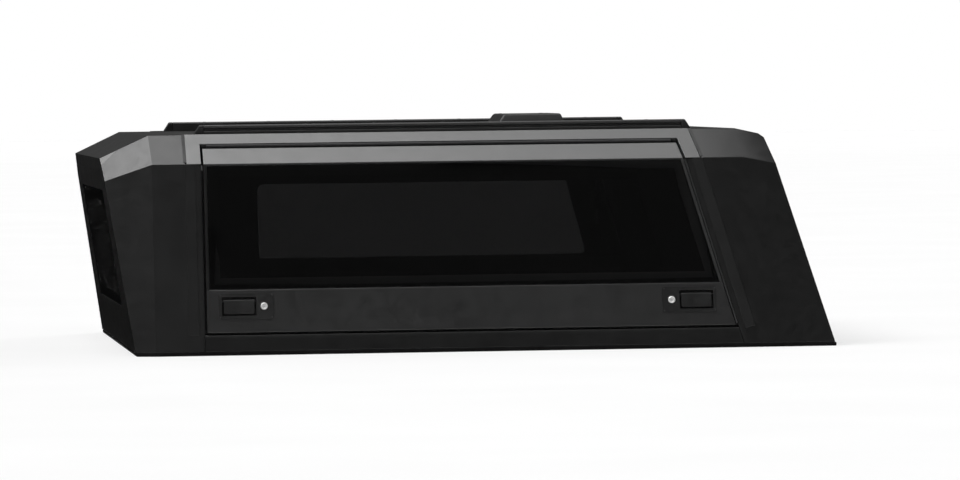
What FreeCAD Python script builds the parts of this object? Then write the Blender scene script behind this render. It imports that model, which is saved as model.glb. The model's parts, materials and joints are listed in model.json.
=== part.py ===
import FreeCAD, Part
import math
import os
import re
import Sketcher
from FreeCAD import Placement, Rotation, Vector

# Hard canopy for the open bed of a full-size pickup truck: a folded steel shell with a gull-wing
# door in each side, a lift-up rear door, a front window, two roof rails and a roof vent.
# Millimetres. X runs from the cab to the tailgate, Z up, and the left side of the vehicle is -Y.
# The origin lies on the floor, at the middle of the overall box.

SIZES = [
    # Outline of the shell, seen from the side
    ("base_length", 1800, "length of the base along the bed"),
    ("nose_lean", 8.8, "forward lean of the front wall, degrees"),
    ("nose_drop", 57, "roof above the place where the front wall meets it"),
    ("crest_setback", 45, "roof crest behind the foot of the front wall"),
    ("roof_height", 561, "height of the flat roof"),
    ("rear_rake", 16.6, "forward rake of the rear face, degrees"),
    ("rear_drop", 24, "roof above the upper end of the rear face"),
    ("rear_bevel_run", 14, "length of the bevel above the rear face"),
    ("rear_bevel_rise", 10, "height of that bevel"),
    ("roof_fall_run", 61, "length of the slope that ends the roof"),
    # Outline of the shell, seen from behind
    ("base_width", 1700, "width over the base"),
    ("side_lean", 10.24, "inward lean of the side walls, degrees"),
    ("belt_drop", 74, "roof above the belt, where the side wall turns into the upper band"),
    ("roof_inset", 165, "roof's edge inside the base's edge"),
    # Corner facets
    ("facet_start", 50, "front corner facet, start behind the foot of the front wall"),
    ("facet_turn", 22, "turn of the front corner facet towards the cab, degrees"),
    ("facet_belt_fall", 41, "fall of the belt along that facet"),
    ("tail_facet_start", 225, "rear corner facet of the band, start ahead of the base's end"),
    ("tail_facet_inset", 14, "how far that facet draws in at the rear face"),
    # Sheet and glass
    ("wall", 24, "depth of the double-skinned panels"),
    ("glass_depth", 5, "thickness of the glass"),
    ("glass_play", 1, "gap around a pane in its rebate"),
    ("seal_height", 10, "height of the rubber base seal"),
    ("seal_width", 30, "width of the base seal"),
    # Side doors
    ("door_front", 182, "front edge of the side door behind the foot of the front wall"),
    ("door_drop", 29, "roof above the side door's hinge line"),
    ("door_bottom", 58, "height of the side door's lower edge"),
    ("door_rear", 394, "rear end of the side door's hinge line ahead of the base's end"),
    ("door_rake", 15.9, "rake of the side door's rear edge, degrees"),
    ("door_gap", 6, "gap around a door"),
    ("hinge_gap", 6, "gap on each side of a hinge line"),
    ("hinge_inset", 3, "depth of a hinge line behind the skin"),
    ("glass_border", 8, "steel left beside the side glass"),
    ("glass_drop", 4, "belt above the side glass"),
    ("glass_bottom", 167, "height of the side glass's lower edge"),
    ("glass_lap", 30, "lap of a pane over the frame behind it"),
    ("cover_leg", 37, "width of the door header's legs beside the opening"),
    ("cover_rise", 1.5, "how far the header stands proud of the band"),
    ("cover_seam", 4, "width of the open seam beside the header's legs"),
    ("hem_width", 15, "width of the turned hem round the side door's opening"),
    ("hem_depth", 3.5, "depth to which that hem draws in"),
    # Flanges behind the doors' edges
    ("flange_clear", 9, "door flange behind a door's inner face"),
    ("flange_sheet", 3, "thickness of a door flange"),
    ("flange_lap", 20, "lap of a door flange behind the door"),
    ("flange_foot", 12, "width of the door flange's foot on the panel"),
    ("flange_stop", 4, "end of a door flange below the belt"),
    # Rear door
    ("pillar_width", 85, "width of the pillar beside the rear door"),
    ("roof_seam_inset", 25, "roof panel's seam inside the roof's edge"),
    ("rear_door_drop", 56, "roof above the rear door's hinge line"),
    ("rear_door_bottom", 12, "height of the rear door's lower edge"),
    ("rear_glass_border", 60, "steel beside the rear glass"),
    ("rear_glass_drop", 45, "rear door's hinge line above its glass"),
    ("rear_glass_bottom", 140, "height of the rear glass's lower edge"),
    ("rear_seam_ahead", 255, "roof panel's rear seam ahead of the base's end"),
    # Front wall
    ("front_lip", 30, "depth of the roof panel's lip over the front wall"),
    ("front_glass_side", 130, "front window inside the roof panel's edge"),
    ("front_glass_drop", 54, "front wall's upper seam above the window"),
    ("front_glass_bottom", 120, "height of the front window's lower edge"),
    # Base rails with the clamp holes
    ("sole_width", 60, "width of the base rail's sole"),
    ("sole_depth", 6, "thickness of the base rail"),
    ("sole_lip", 24, "height of the base rail's lip"),
    ("sole_start", 70, "start of the base rail behind the foot of the front wall"),
    ("sole_end", 70, "end of the base rail ahead of the base's end"),
    ("clamp_hole_start", 200, "first clamp hole behind the foot of the front wall"),
    ("clamp_hole_end", 220, "last clamp hole ahead of the base's end"),
    ("clamp_hole_count", 4, "clamp holes in a base rail"),
    ("clamp_hole_inset", 55, "clamp holes inside the base's edge"),
    ("clamp_hole_size", 11, "diameter of a clamp hole"),
    # Roof rails
    ("rail_start", 165, "start of the roof rail behind the foot of the front wall"),
    ("rail_rear", 344, "rear end of the roof rail ahead of the base's end"),
    ("rail_height", 25, "height of the roof rail"),
    ("rail_width", 40, "width of the roof rail"),
    ("rail_inset", 30, "roof rail inside the roof's edge"),
    ("rail_cap", 26, "length of a rail's end cap"),
    ("rail_end_run", 16, "length of the slope that ends a rail"),
    ("rail_slot", 6, "width and depth of the slot in the rail"),
    ("rail_chamfer", 3, "chamfer of the rail's upper edges"),
    # Roof vent
    ("vent_rear", 610, "rear edge of the roof vent ahead of the base's end"),
    ("vent_length", 182, "length of the roof vent"),
    ("vent_width", 280, "width of the roof vent"),
    ("vent_height", 41, "height of the roof vent"),
    ("vent_curb", 14, "height of the vent's curb"),
    ("vent_curb_inset", 10, "vent's curb inside its hood"),
    ("vent_slope", 20, "length of the slope that starts the hood"),
    ("vent_tail_slope", 10, "length of the slope that ends the hood"),
    ("vent_side_slope", 12, "width of the hood's side slopes"),
    # Brake light
    ("lamp_width", 300, "width of the brake light"),
    ("lamp_height", 12, "height of the brake light's lens"),
    ("lamp_depth", 8, "depth of the brake light"),
    # Latches of the doors
    ("latch_length", 140, "length of a latch's escutcheon"),
    ("latch_width", 66, "width of a latch's escutcheon"),
    ("latch_rim", 1.5, "how far the escutcheon stands proud"),
    ("latch_margin", 6, "escutcheon's lap on the door"),
    ("latch_depth", 19, "depth of the latch's tray"),
    ("latch_corner", 6, "corner radius of the escutcheon"),
    ("latch_floor", 3, "thickness of the tray's floor"),
    ("recess_corner", 3, "corner radius of the paddle's recess"),
    ("latch_height", 124, "height of the middle of a latch"),
    ("latch_inset", 100, "middle of a latch from the door's edge"),
    ("key_offset", 46, "key barrel from the middle of the latch"),
    ("key_size", 18, "diameter of the key barrel"),
    ("key_fit", 0.05, "gap around the key barrel"),
    ("key_rise", 2.5, "how far the key barrel stands proud of the skin"),
    ("key_bevel", 1, "bevel of the key barrel's face"),
    ("keyway_length", 9, "length of the keyway"),
    ("keyway_width", 2, "width of the keyway"),
    ("keyway_depth", 4, "depth of the keyway"),
    ("paddle_offset", 18, "middle of the paddle from the middle of the latch"),
    ("paddle_length", 78, "length of the paddle"),
    ("paddle_width", 38, "width of the paddle"),
    ("paddle_depth", 5, "thickness of the paddle"),
    ("paddle_corner", 4, "corner radius of the paddle's lower edge"),
    ("paddle_gap", 5, "gap around the paddle"),
    ("paddle_barrel", 5, "radius of the paddle's hinge barrel"),
    ("paddle_pin", 2, "radius of the paddle's pin"),
    # Hinges
    ("barrel_radius", 4, "radius of a door hinge's barrel"),
    ("pin_radius", 2, "radius of a door hinge's pin"),
    ("pin_play", 0.05, "gap between a pin and its bore"),
    ("leaf_depth", 3, "thickness of a hinge leaf"),
    ("leaf_width", 20, "width of a hinge leaf"),
    ("knuckles", 11, "number of knuckles in a door hinge"),
    ("knuckle_gap", 0.5, "gap between two knuckles"),
    ("hinge_end", 12, "door hinge's end inside the door's edge"),
    # Gas struts
    ("strut_root_in", 38, "strut's fixed pivot inside the hinge line"),
    ("strut_root_down", 50, "strut's fixed pivot below the hinge line"),
    ("strut_door_down", 240, "strut's moving pivot below the hinge line"),
    ("strut_stand_off", 20, "strut's moving pivot inside the door's inner face"),
    ("strut_front", 40, "front strut behind the door's front edge"),
    ("strut_rear", 22, "rear strut ahead of the end of the hinge line"),
    ("rear_strut_inset", 45, "rear door's strut inside the door's edge"),
    ("tube_radius", 8, "radius of a strut's tube"),
    ("rod_radius", 4, "radius of a strut's rod"),
    ("rod_play", 0.1, "gap around the rod in its tube"),
    ("tube_end", 42, "tube's end from the moving pivot when closed"),
    ("tube_neck", 14, "tube's full width from its fixed pivot"),
    ("bore_start", 21, "tube's bore from its fixed pivot"),
    ("rod_start", 28, "rod's inner end from the fixed pivot when closed"),
    ("eye_radius", 7, "radius of a strut's eye"),
    ("eye_length", 10, "length of a strut's eye"),
    ("stud_radius", 4, "radius of a strut's stud"),
    ("bracket_depth", 5, "thickness of a strut's bracket"),
    ("hanger_width", 10, "width of a strut's fixed bracket above its eye"),
    ("pivot_clearance", 0.3, "gap beside the strut's moving eye"),
]
NUMBERS = {name: value for name, value, note in SIZES}

# Places worked out from the sizes. FAR and DEEP only have to reach past the shell.
FAR = 1200
DEEP = 200
SMALL = 0.01
PLACES = {
    "nose_height": "roof_height - nose_drop",
    "rear_height": "roof_height - rear_drop",
    "belt_height": "roof_height - belt_drop",
    "facet_belt": "belt_height - facet_belt_fall",
    "door_top": "roof_height - door_drop",
    "glass_top": "belt_height - glass_drop",
    "rear_door_top": "roof_height - rear_door_drop",
    "rear_glass_top": "rear_door_top - rear_glass_drop",
    "front_glass_top": "front_seam - front_glass_drop",
    "front_glass_half": "core_roof - front_glass_side",
    "flange_top": "belt_height - flange_stop",
    "nose_reach": "nose_height * tan(nose_lean)",
    "x_foot": "-(base_length - nose_reach) / 2",
    "x_end": "x_foot + base_length",
    "x_nose": "x_foot - nose_reach",
    "x_crest": "x_foot + crest_setback",
    "x_rear_top": "x_end - rear_height * tan(rear_rake)",
    "x_bevel": "x_rear_top - rear_bevel_run",
    "x_fall": "x_bevel - roof_fall_run",
    "base_half": "base_width / 2",
    "belt_half": "base_half - belt_height * tan(side_lean)",
    "roof_half": "base_half - roof_inset",
    "band_run": "(belt_half - roof_half) / (roof_height - belt_height)",
    "wall_in": "wall / cos(side_lean)",
    "x_door": "x_foot + door_front",
    "x_door_top": "x_end - door_rear",
    "door_length": "x_door_top - x_door",
    "rake_gap": "door_gap / cos(door_rake)",
    "rake_leg": "(door_gap + cover_leg) / cos(door_rake)",
    "rake_seam": "rake_leg + cover_seam / cos(door_rake)",
    "y_hinge": "belt_half - (door_top - belt_height) * band_run - hinge_inset",
    "x_hinge": "x_end - rear_door_top * tan(rear_rake) - hinge_inset",
    "core_base": "base_half - pillar_width",
    "core_belt": "belt_half - pillar_width",
    "core_roof": "roof_half - roof_seam_inset",
    "front_seam": "nose_height - front_lip",
    "x_rear_seam": "x_end - rear_seam_ahead",
    "rail_outer": "roof_half - rail_inset",
    "rail_inner": "rail_outer - rail_width",
    "rail_top": "roof_height + rail_height",
    "x_rail": "x_foot + rail_start",
    "x_rail_end": "x_end - rail_rear",
    "rail_length": "x_rail_end - x_rail",
    "x_vent": "x_end - vent_rear - vent_length",
    "x_sole": "x_foot + sole_start",
    "x_sole_end": "x_end - sole_end",
    "y_clamp": "base_half - clamp_hole_inset",
    "clamp_hole_run": "base_length - clamp_hole_start - clamp_hole_end",
}

doc = FreeCAD.newDocument("PickupCanopy")
sheet = doc.addObject("Spreadsheet::Sheet", "Sizes")
for row, (name, value, note) in enumerate(SIZES, start=1):
    sheet.set(f"A{row}", name)
    sheet.set(f"B{row}", str(value))
    sheet.set(f"C{row}", note)
    sheet.setAlias(f"B{row}", name)
doc.recompute()

NODES = []


def cells(formula):
    """Turn a formula of size and place names into an expression on the sheet."""
    def swap(match):
        word = match.group()
        if word in PLACES:
            return f"({cells(PLACES[word])})"
        return f"Sizes.{word}" if word in NUMBERS else word
    return re.sub(r"[a-z]\w*", swap, str(formula))


def size(formula):
    """Read a formula as a number."""
    return float(sheet.evalExpression(cells(formula)))


def bind(item, **formulas):
    """Bind properties of an object to formulas."""
    for name, formula in formulas.items():
        item.setExpression(name.replace("__", "."), cells(formula))


def draw_outline(sketch, corners):
    """Draw a closed outline whose corners are pairs of formulas."""
    first = sketch.GeometryCount
    places = [Vector(size(a), size(b), 0) for a, b in corners]
    for index, place in enumerate(places):
        sketch.addGeometry(Part.LineSegment(place, places[(index + 1) % len(places)]), False)
    for index in range(len(places)):
        follower = first + (index + 1) % len(places)
        sketch.addConstraint(Sketcher.Constraint("Coincident", first + index, 2, follower, 1))
    for index, pair in enumerate(corners):
        for kind, formula in zip(("DistanceX", "DistanceY"), pair):
            row = sketch.addConstraint(
                Sketcher.Constraint(kind, -1, 1, first + index, 1, size(formula)))
            sketch.setExpression(f"Constraints[{row}]", cells(formula))


def draw_circle(sketch, across, up, radius):
    """Draw a circle from three formulas."""
    centre = Vector(size(across), size(up), 0)
    item = sketch.addGeometry(Part.Circle(centre, Vector(0, 0, 1), size(radius)), False)
    for kind, formula in zip(("DistanceX", "DistanceY"), (across, up)):
        row = sketch.addConstraint(Sketcher.Constraint(kind, -1, 1, item, 3, size(formula)))
        sketch.setExpression(f"Constraints[{row}]", cells(formula))
    row = sketch.addConstraint(Sketcher.Constraint("Radius", item, size(radius)))
    sketch.setExpression(f"Constraints[{row}]", cells(radius))


# For each way of looking: how the sketch lies, the direction across it and that axis's name
VIEWS = {
    "side": (Rotation(Vector(1, 0, 0), 90), Vector(0, 1, 0), "y"),
    "end": (Rotation(Vector(1, 1, 1), 120), Vector(1, 0, 0), "x"),
    "plan": (Rotation(), Vector(0, 0, 1), "z"),
}


def prism(name, view, corners, low, high):
    """Extrude an outline across the view from low to high."""
    turn, across, axis = VIEWS[view]
    sketch = doc.addObject("Sketcher::SketchObject", f"{name}_outline")
    sketch.Placement = Placement(Vector(), turn)
    draw_outline(sketch, corners)
    sketch.setExpression(f"Placement.Base.{axis}", cells(low))
    block = doc.addObject("Part::Extrusion", name)
    block.Base = sketch
    block.DirMode = "Custom"
    block.Dir = across
    block.Solid = True
    bind(block, LengthFwd=f"({high}) - ({low})")
    return block


def axis_plane(body, role):
    """One of a body's own origin planes."""
    return next(item for item in body.Origin.OriginFeatures if item.Role == role)


def body_sketch(body, name, role, offset="0"):
    """Start a sketch on a body's origin plane, moved off it by a formula."""
    sketch = body.newObject("Sketcher::SketchObject", name)
    sketch.AttachmentSupport = (axis_plane(body, role), [""])
    sketch.MapMode = "FlatFace"
    sketch.setExpression("AttachmentOffset.Base.z", cells(offset))
    return sketch


def add_feature(body, kind, name, sketch, length, backwards=False):
    """Pad or pocket a sketch by a length."""
    item = body.newObject(f"PartDesign::{kind}", name)
    item.Profile = sketch
    item.Reversed = backwards
    bind(item, Length=length)
    return item


def round_edges(body, name, radius, wanted):
    """Fillet the edges of a body's solid that a test picks."""
    doc.recompute()
    tip = body.Tip
    edges = [f"Edge{index}" for index, edge in enumerate(tip.Shape.Edges, start=1) if wanted(edge)]
    item = body.newObject("PartDesign::Fillet", name)
    item.Base = (tip, edges)
    bind(item, Radius=radius)
    return item


def upright_at(x, y):
    """A test for straight edges along Z at plus or minus x and y."""
    def wanted(edge):
        first, last = edge.Vertexes[0].Point, edge.Vertexes[-1].Point
        level = abs(first.x - last.x) < SMALL and abs(first.y - last.y) < SMALL
        return level and abs(abs(first.x) - x) < SMALL and abs(abs(first.y) - y) < SMALL
    return wanted


def common(name, *items):
    """Keep what all the items share."""
    result = doc.addObject("Part::MultiCommon", name)
    result.Shapes = list(items)
    return result


def fuse(name, *items):
    """Join the items."""
    result = doc.addObject("Part::MultiFuse", name)
    result.Shapes = list(items)
    return result


def cut(name, base, *tools):
    """Cut the tools out of the base."""
    result = doc.addObject("Part::Cut", name)
    result.Base = base
    result.Tool = tools[0] if len(tools) == 1 else fuse(f"{name}_tools", *tools)
    return result


def node(label, item):
    """Name a finished piece, which goes to its own file."""
    item.Label = label
    NODES.append(item)


def mirrored(name, item):
    """Repeat a left-hand piece on the right."""
    result = doc.addObject("Part::Mirroring", name)
    result.Source = item
    result.Normal = Vector(0, 1, 0)
    return result


def pair(label, item):
    """Name a left-hand piece and its mirror image."""
    node(f"left_{label}", item)
    node(f"right_{label}", mirrored(f"mirrored_{label}", item))


def feature(name, shape, place=None):
    """Keep a shape computed from the sheet as an object of the document."""
    item = doc.addObject("Part::Feature", name)
    item.Shape = shape
    if place is not None:
        item.Placement = place.multiply(shape.Placement)
    return item


def half_space(point, normal, depth=0):
    """Make a block that fills the space beyond a plane drawn in by a depth."""
    block = Part.makeBox(4 * FAR, 4 * FAR, 2 * FAR, Vector(-2 * FAR, -2 * FAR, 0))
    block.Placement = Placement(point - normal * depth, Rotation(Vector(0, 0, 1), normal))
    return block


def outline_planes(corners, along, across):
    """Planes through an outline's edges, outwards to the left of the way along it."""
    places = [along * size(a) + Vector(0, 0, size(b)) for a, b in corners]
    return [(first, across.cross(second - first).normalize()) for first, second in zip(places, places[1:])]


def corner_planes():
    """The planes of the left side's corner facets."""
    crease = size("x_foot + facet_start")
    base, belt, roof = size("base_half"), size("belt_half"), size("roof_half")
    belt_z, roof_z = size("belt_height"), size("roof_height")
    turn = math.tan(math.radians(size("facet_turn")))
    nose_x = size("x_foot - facet_belt * tan(nose_lean)")
    nose_y = size("base_half - facet_belt * tan(side_lean)") - turn * (crease - nose_x)
    belt_point = Vector(crease, -belt, belt_z)
    nose_point = Vector(nose_x, -nose_y, size("facet_belt"))
    tail_x = size("x_end - tail_facet_start")
    rear_x = size("x_end - belt_height * tan(rear_rake)")
    facets = [
        (belt_point, Vector(crease, -base, 0), nose_point),
        (nose_point, Vector(size("x_crest"), -roof, roof_z), belt_point),
        (Vector(tail_x, -belt, belt_z), Vector(size("x_fall"), -roof, roof_z),
         Vector(rear_x, -belt + size("tail_facet_inset"), belt_z)),
    ]
    planes = []
    for first, second, third in facets:
        normal = (second - first).cross(third - first).normalize()
        planes.append((first, normal if normal.y < 0 else -normal))
    return planes


def skin_planes():
    """Every flat sheet of the shell, as a point and the direction outwards."""
    side = outline_planes([
        ("x_foot", "0"),
        ("x_nose", "nose_height"),
        ("x_crest", "roof_height"),
        ("x_fall", "roof_height"),
        ("x_bevel", "rear_height + rear_bevel_rise"),
        ("x_rear_top", "rear_height"),
        ("x_end", "0"),
    ], Vector(1, 0, 0), Vector(0, -1, 0))
    left = outline_planes([
        ("-base_half", "0"), ("-belt_half", "belt_height"), ("-roof_half", "roof_height"),
    ], Vector(0, 1, 0), Vector(1, 0, 0)) + corner_planes()
    right = [(Vector(p.x, -p.y, p.z), Vector(n.x, -n.y, n.z)) for p, n in left]
    return side + left + right


def skin_form(name, depth):
    """The solid that the shell's sheets enclose, drawn in by a depth and carried on below the floor."""
    solid = Part.makeBox(2 * FAR, 2 * FAR, FAR + DEEP, Vector(-FAR, -FAR, -DEEP))
    for point, normal in skin_planes():
        solid = solid.cut(half_space(point, normal, depth))
    return feature(name, solid)


def make_shell():
    """The whole faceted shell, open below, and the solids that bound its skins."""
    outer = skin_form("outer_form", 0)
    inner = skin_form("inner_form", size("wall"))
    glazed = skin_form("glazed_form", size("glass_depth"))
    return outer, inner, glazed, cut("shell", outer, inner)


def core_zone(name, gap="0"):
    """The zone between the side pieces, less a gap on each side."""
    return prism(name, "end", [
        (f"-(core_base + {DEEP} * tan(side_lean)) + ({gap})", f"-{DEEP}"),
        (f"-core_belt + ({gap})", "belt_height"),
        (f"-core_roof + ({gap})", "roof_height"),
        (f"-core_roof + ({gap})", f"{FAR}"),
        (f"core_roof - ({gap})", f"{FAR}"),
        (f"core_roof - ({gap})", "roof_height"),
        (f"core_belt - ({gap})", "belt_height"),
        (f"core_base + {DEEP} * tan(side_lean) - ({gap})", f"-{DEEP}"),
    ], f"-{FAR}", f"{FAR}")


def left_zone(name, corners):
    """Extrude a side outline through the left side only."""
    return prism(name, "side", corners, f"-{FAR}", "0")


def box_zone(name, x_low, x_high, z_low, z_high, y_low=f"-{FAR}", y_high=f"{FAR}"):
    """A box given by formulas."""
    return prism(name, "side", [
        (x_low, z_low), (x_high, z_low), (x_high, z_high), (x_low, z_high)], y_low, y_high)


def rake_at(height, beyond="0"):
    """X of the side door's rear edge at a height, and a distance beyond it."""
    return f"x_door_top + (door_top - ({height})) * tan(door_rake) + ({beyond})"


def door_outline(bottom, top, front_gap, rear_gap):
    """Outline of the side door's kind: vertical front edge, raked rear edge."""
    return [
        (f"x_door + ({front_gap})", bottom),
        (rake_at(bottom, f"-({rear_gap})"), bottom),
        (rake_at(top, f"-({rear_gap})"), top),
        (f"x_door + ({front_gap})", top),
    ]


def hem_waste(name, x, z, towards):
    """What a hem draws in from the left skin, from a point on its crease towards the door."""
    lean, turn = math.radians(size("side_lean")), math.atan(size("hem_depth / hem_width"))
    outwards = Vector(0, -math.cos(lean), math.sin(lean))
    point = Vector(x, -size("base_half") + z * math.tan(lean), z)
    return feature(name, half_space(point, outwards * math.cos(turn) + towards * math.sin(turn)))


def make_sides(shell, inner, glazed, core):
    """The fixed pieces of the left side, with their mirror images."""
    skin = cut("side_skin", shell, core)
    cover_skin = cut("cover_skin", skin_form("cover_form", -size("cover_rise")), inner, core)
    floor, sky = "seal_height", f"{FAR}"
    over, leg = "door_top + hinge_gap", "x_door - door_gap - cover_leg"
    header = left_zone("header_zone", [
        (leg, "belt_height"), ("x_door - door_gap", "belt_height"), ("x_door - door_gap", over),
        (rake_at(over, "rake_gap"), over), (rake_at("belt_height", "rake_gap"), "belt_height"),
        (rake_at("belt_height", "rake_leg"), "belt_height"), (rake_at(sky, "rake_leg"), sky), (leg, sky)])
    pair("door_header", common("door_header", cover_skin, header))
    seam = cut("cover_seam", left_zone("seam_zone", [
        (f"{leg} - cover_seam", "belt_height"), (rake_at("belt_height", "rake_seam"), "belt_height"),
        (rake_at(sky, "rake_seam"), sky), (f"{leg} - cover_seam", sky)]), glazed)
    front = left_zone("front_zone", [
        (f"-{FAR}", floor), ("x_door - door_gap", floor), ("x_door - door_gap", sky), (f"-{FAR}", sky)])
    front_hem = hem_waste("front_hem", size("x_door - door_gap - hem_width"), 0, Vector(1, 0, 0))
    pair("front_quarter", cut("front_quarter", common("front_block", skin, front), header, seam, front_hem))
    rear = left_zone("rear_zone", [
        (rake_at(floor, "rake_gap"), floor), (f"{FAR}", floor), (f"{FAR}", sky),
        (rake_at(sky, "rake_gap"), sky)])
    lean, rake = math.radians(size("side_lean")), math.radians(size("door_rake"))
    outwards = Vector(0, -math.cos(lean), math.sin(lean))
    edge = Vector(-math.tan(rake), math.tan(lean), 1).normalize()
    rear_hem = hem_waste(
        "rear_hem", size(rake_at("0", "rake_gap + hem_width / cos(door_rake)")), 0, outwards.cross(edge))
    pair("rear_quarter", cut("rear_quarter", common("rear_block", skin, rear), header, seam, rear_hem))
    sill = left_zone("sill_zone", [
        ("x_door - door_gap", floor), (rake_at(floor, "rake_gap"), floor),
        (rake_at("door_bottom - door_gap", "rake_gap"), "door_bottom - door_gap"),
        ("x_door - door_gap", "door_bottom - door_gap")])
    sill_hem = hem_waste(
        "sill_hem", 0, size("door_bottom - door_gap - hem_width"), Vector(0, math.sin(lean), math.cos(lean)))
    pair("sill", cut("sill", common("sill_block", skin, sill), sill_hem))
    return skin


def opening_band(name, inside, outside):
    """A band round the side door's outline, open above, from one distance outside the door to another."""
    low, high = f"door_bottom - ({outside})", f"door_bottom - ({inside})"
    inner_rake, outer_rake = f"({inside}) / cos(door_rake)", f"({outside}) / cos(door_rake)"
    return left_zone(name, [
        (f"x_door - ({outside})", "flange_top"), (f"x_door - ({outside})", low),
        (rake_at(low, outer_rake), low), (rake_at("flange_top", outer_rake), "flange_top"),
        (rake_at("flange_top", inner_rake), "flange_top"), (rake_at(high, inner_rake), high),
        (f"x_door - ({inside})", high), (f"x_door - ({inside})", "flange_top")])


def pillar_band(name, inside, outside):
    """A band along the rear door's left edge, from one distance outside the pillar's edge to another."""
    def across(height, distance):
        return f"-(core_base - ({height}) * tan(side_lean) + ({distance}))"
    low, high = "rear_door_bottom", "flange_top"
    return prism(name, "end", [
        (across(low, outside), low), (across(low, inside), low),
        (across(high, inside), high), (across(high, outside), high)], "0", f"{FAR}")


def make_flanges(inner):
    """The fixed flanges behind the edges of the doors, each with a foot on the panel beside it."""
    near = skin_form("flange_face", size("wall + flange_clear"))
    far = skin_form("flange_back", size("wall + flange_clear + flange_sheet"))
    sheet_form, foot_form = cut("flange_sheet_form", near, far), cut("flange_foot_form", inner, far)
    side = fuse(
        "side_flange",
        common("side_flange_sheet", sheet_form, opening_band(
            "side_sheet_zone", "-flange_lap", "door_gap + flange_foot")),
        common("side_flange_foot", foot_form, opening_band(
            "side_foot_zone", "door_gap", "door_gap + flange_foot")))
    rear = fuse(
        "rear_flange",
        common("rear_flange_sheet", sheet_form, pillar_band(
            "rear_sheet_zone", "-door_gap - flange_lap", "flange_foot")),
        common("rear_flange_foot", foot_form, pillar_band("rear_foot_zone", "0", "flange_foot")))
    node("door_flanges", fuse(
        "door_flanges", side, mirrored("right_side_flange", side), rear, mirrored("right_rear_flange", rear)))


def make_side_door(skin, outer, glazed, tray):
    """The left gull-wing door's frame and its flush pane."""
    panel = common("door_panel", skin, left_zone(
        "door_zone", door_outline("door_bottom", "door_top - hinge_gap", "0", "0")))
    pane_zone = left_zone("pane_zone", door_outline(
        "glass_bottom", "glass_top", "glass_border", "glass_border"))
    rebate_zone = left_zone("rebate_zone", door_outline(
        "glass_bottom - glass_play", "glass_top + glass_play",
        "glass_border - glass_play", "glass_border - glass_play"))
    opening = left_zone("door_opening", door_outline(
        "glass_bottom + glass_lap", "glass_top - glass_lap",
        "glass_border + glass_lap", "glass_border + glass_lap"))
    rebate = cut("door_rebate", rebate_zone, glazed)
    frame = cut("door_frame", panel, rebate, opening, *tray)
    pair("door_frame", frame)
    pair("door_glass", cut("door_glass", common("pane_block", outer, pane_zone), glazed))


def make_middle(shell, core, outer, glazed, tray):
    """Front wall, roof panel, rear header and rear door with their panes."""
    middle = common("middle_skin", shell, core)
    seam = "x_rear_seam"
    window = prism("front_pane_zone", "end", [
        ("-front_glass_half", "front_glass_bottom"), ("front_glass_half", "front_glass_bottom"),
        ("front_glass_half", "front_glass_top"), ("-front_glass_half", "front_glass_top"),
    ], f"-{FAR}", "0")
    play, lap = "glass_play", "glass_lap"
    rebate = prism("front_rebate_zone", "end", [
        (f"-front_glass_half - {play}", f"front_glass_bottom - {play}"),
        (f"front_glass_half + {play}", f"front_glass_bottom - {play}"),
        (f"front_glass_half + {play}", f"front_glass_top + {play}"),
        (f"-front_glass_half - {play}", f"front_glass_top + {play}"),
    ], f"-{FAR}", "0")
    opening = prism("front_opening", "end", [
        (f"-front_glass_half + {lap}", f"front_glass_bottom + {lap}"),
        (f"front_glass_half - {lap}", f"front_glass_bottom + {lap}"),
        (f"front_glass_half - {lap}", f"front_glass_top - {lap}"),
        (f"-front_glass_half + {lap}", f"front_glass_top - {lap}"),
    ], f"-{FAR}", "0")
    front = common("front_panel", middle, box_zone(
        "front_wall_zone", f"-{FAR}", "0", "seal_height", "front_seam"))
    node("front_wall", cut("front_wall", front, cut("front_rebate", rebate, glazed), opening))
    node("front_window", cut("front_window", common("front_pane", outer, window), glazed))
    node("roof_panel", common("roof_panel", middle, box_zone(
        "roof_zone", f"-{FAR}", seam, "front_seam", f"{FAR}")))

    lamp = box_zone(
        "lamp_zone", seam, f"{FAR}", "(rear_door_top + hinge_gap + rear_height - lamp_height) / 2",
        "(rear_door_top + hinge_gap + rear_height + lamp_height) / 2",
        "-lamp_width / 2", "lamp_width / 2")
    deep = skin_form("lamp_back", size("lamp_depth"))
    lens = cut("brake_light", common("lamp_block", outer, lamp), deep)
    header = common("rear_header_block", middle, box_zone(
        "rear_header_zone", seam, f"{FAR}", "rear_door_top + hinge_gap", f"{FAR}"))
    node("rear_header", cut("rear_header", header, lens))
    node("brake_light", lens)

    gap = "door_gap"
    inner_core = core_zone("rear_door_sides", gap)
    rear_zone = box_zone(
        "rear_door_zone", "0", f"{FAR}", "rear_door_bottom", "rear_door_top - hinge_gap")
    panel = common("rear_door_panel", shell, inner_core, rear_zone)

    def pane(name, extra):
        low, high = f"rear_glass_bottom - ({extra})", f"rear_glass_top + ({extra})"
        across = f"(core_base - {gap} - rear_glass_border + ({extra}))"
        return prism(name, "end", [
            (f"-({across} - ({low}) * tan(side_lean))", low), (f"{across} - ({low}) * tan(side_lean)", low),
            (f"{across} - ({high}) * tan(side_lean)", high), (f"-({across} - ({high}) * tan(side_lean))", high),
        ], "0", f"{FAR}")

    rebate = cut("rear_rebate", pane("rear_rebate_zone", play), glazed)
    frame = cut("rear_door_frame", panel, rebate, pane("rear_opening", f"-{lap}"), *tray)
    node("rear_door_frame", frame)
    block = common("rear_pane", outer, pane("rear_pane_zone", "0"))
    node("rear_door_glass", cut("rear_door_glass", block, glazed))


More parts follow.
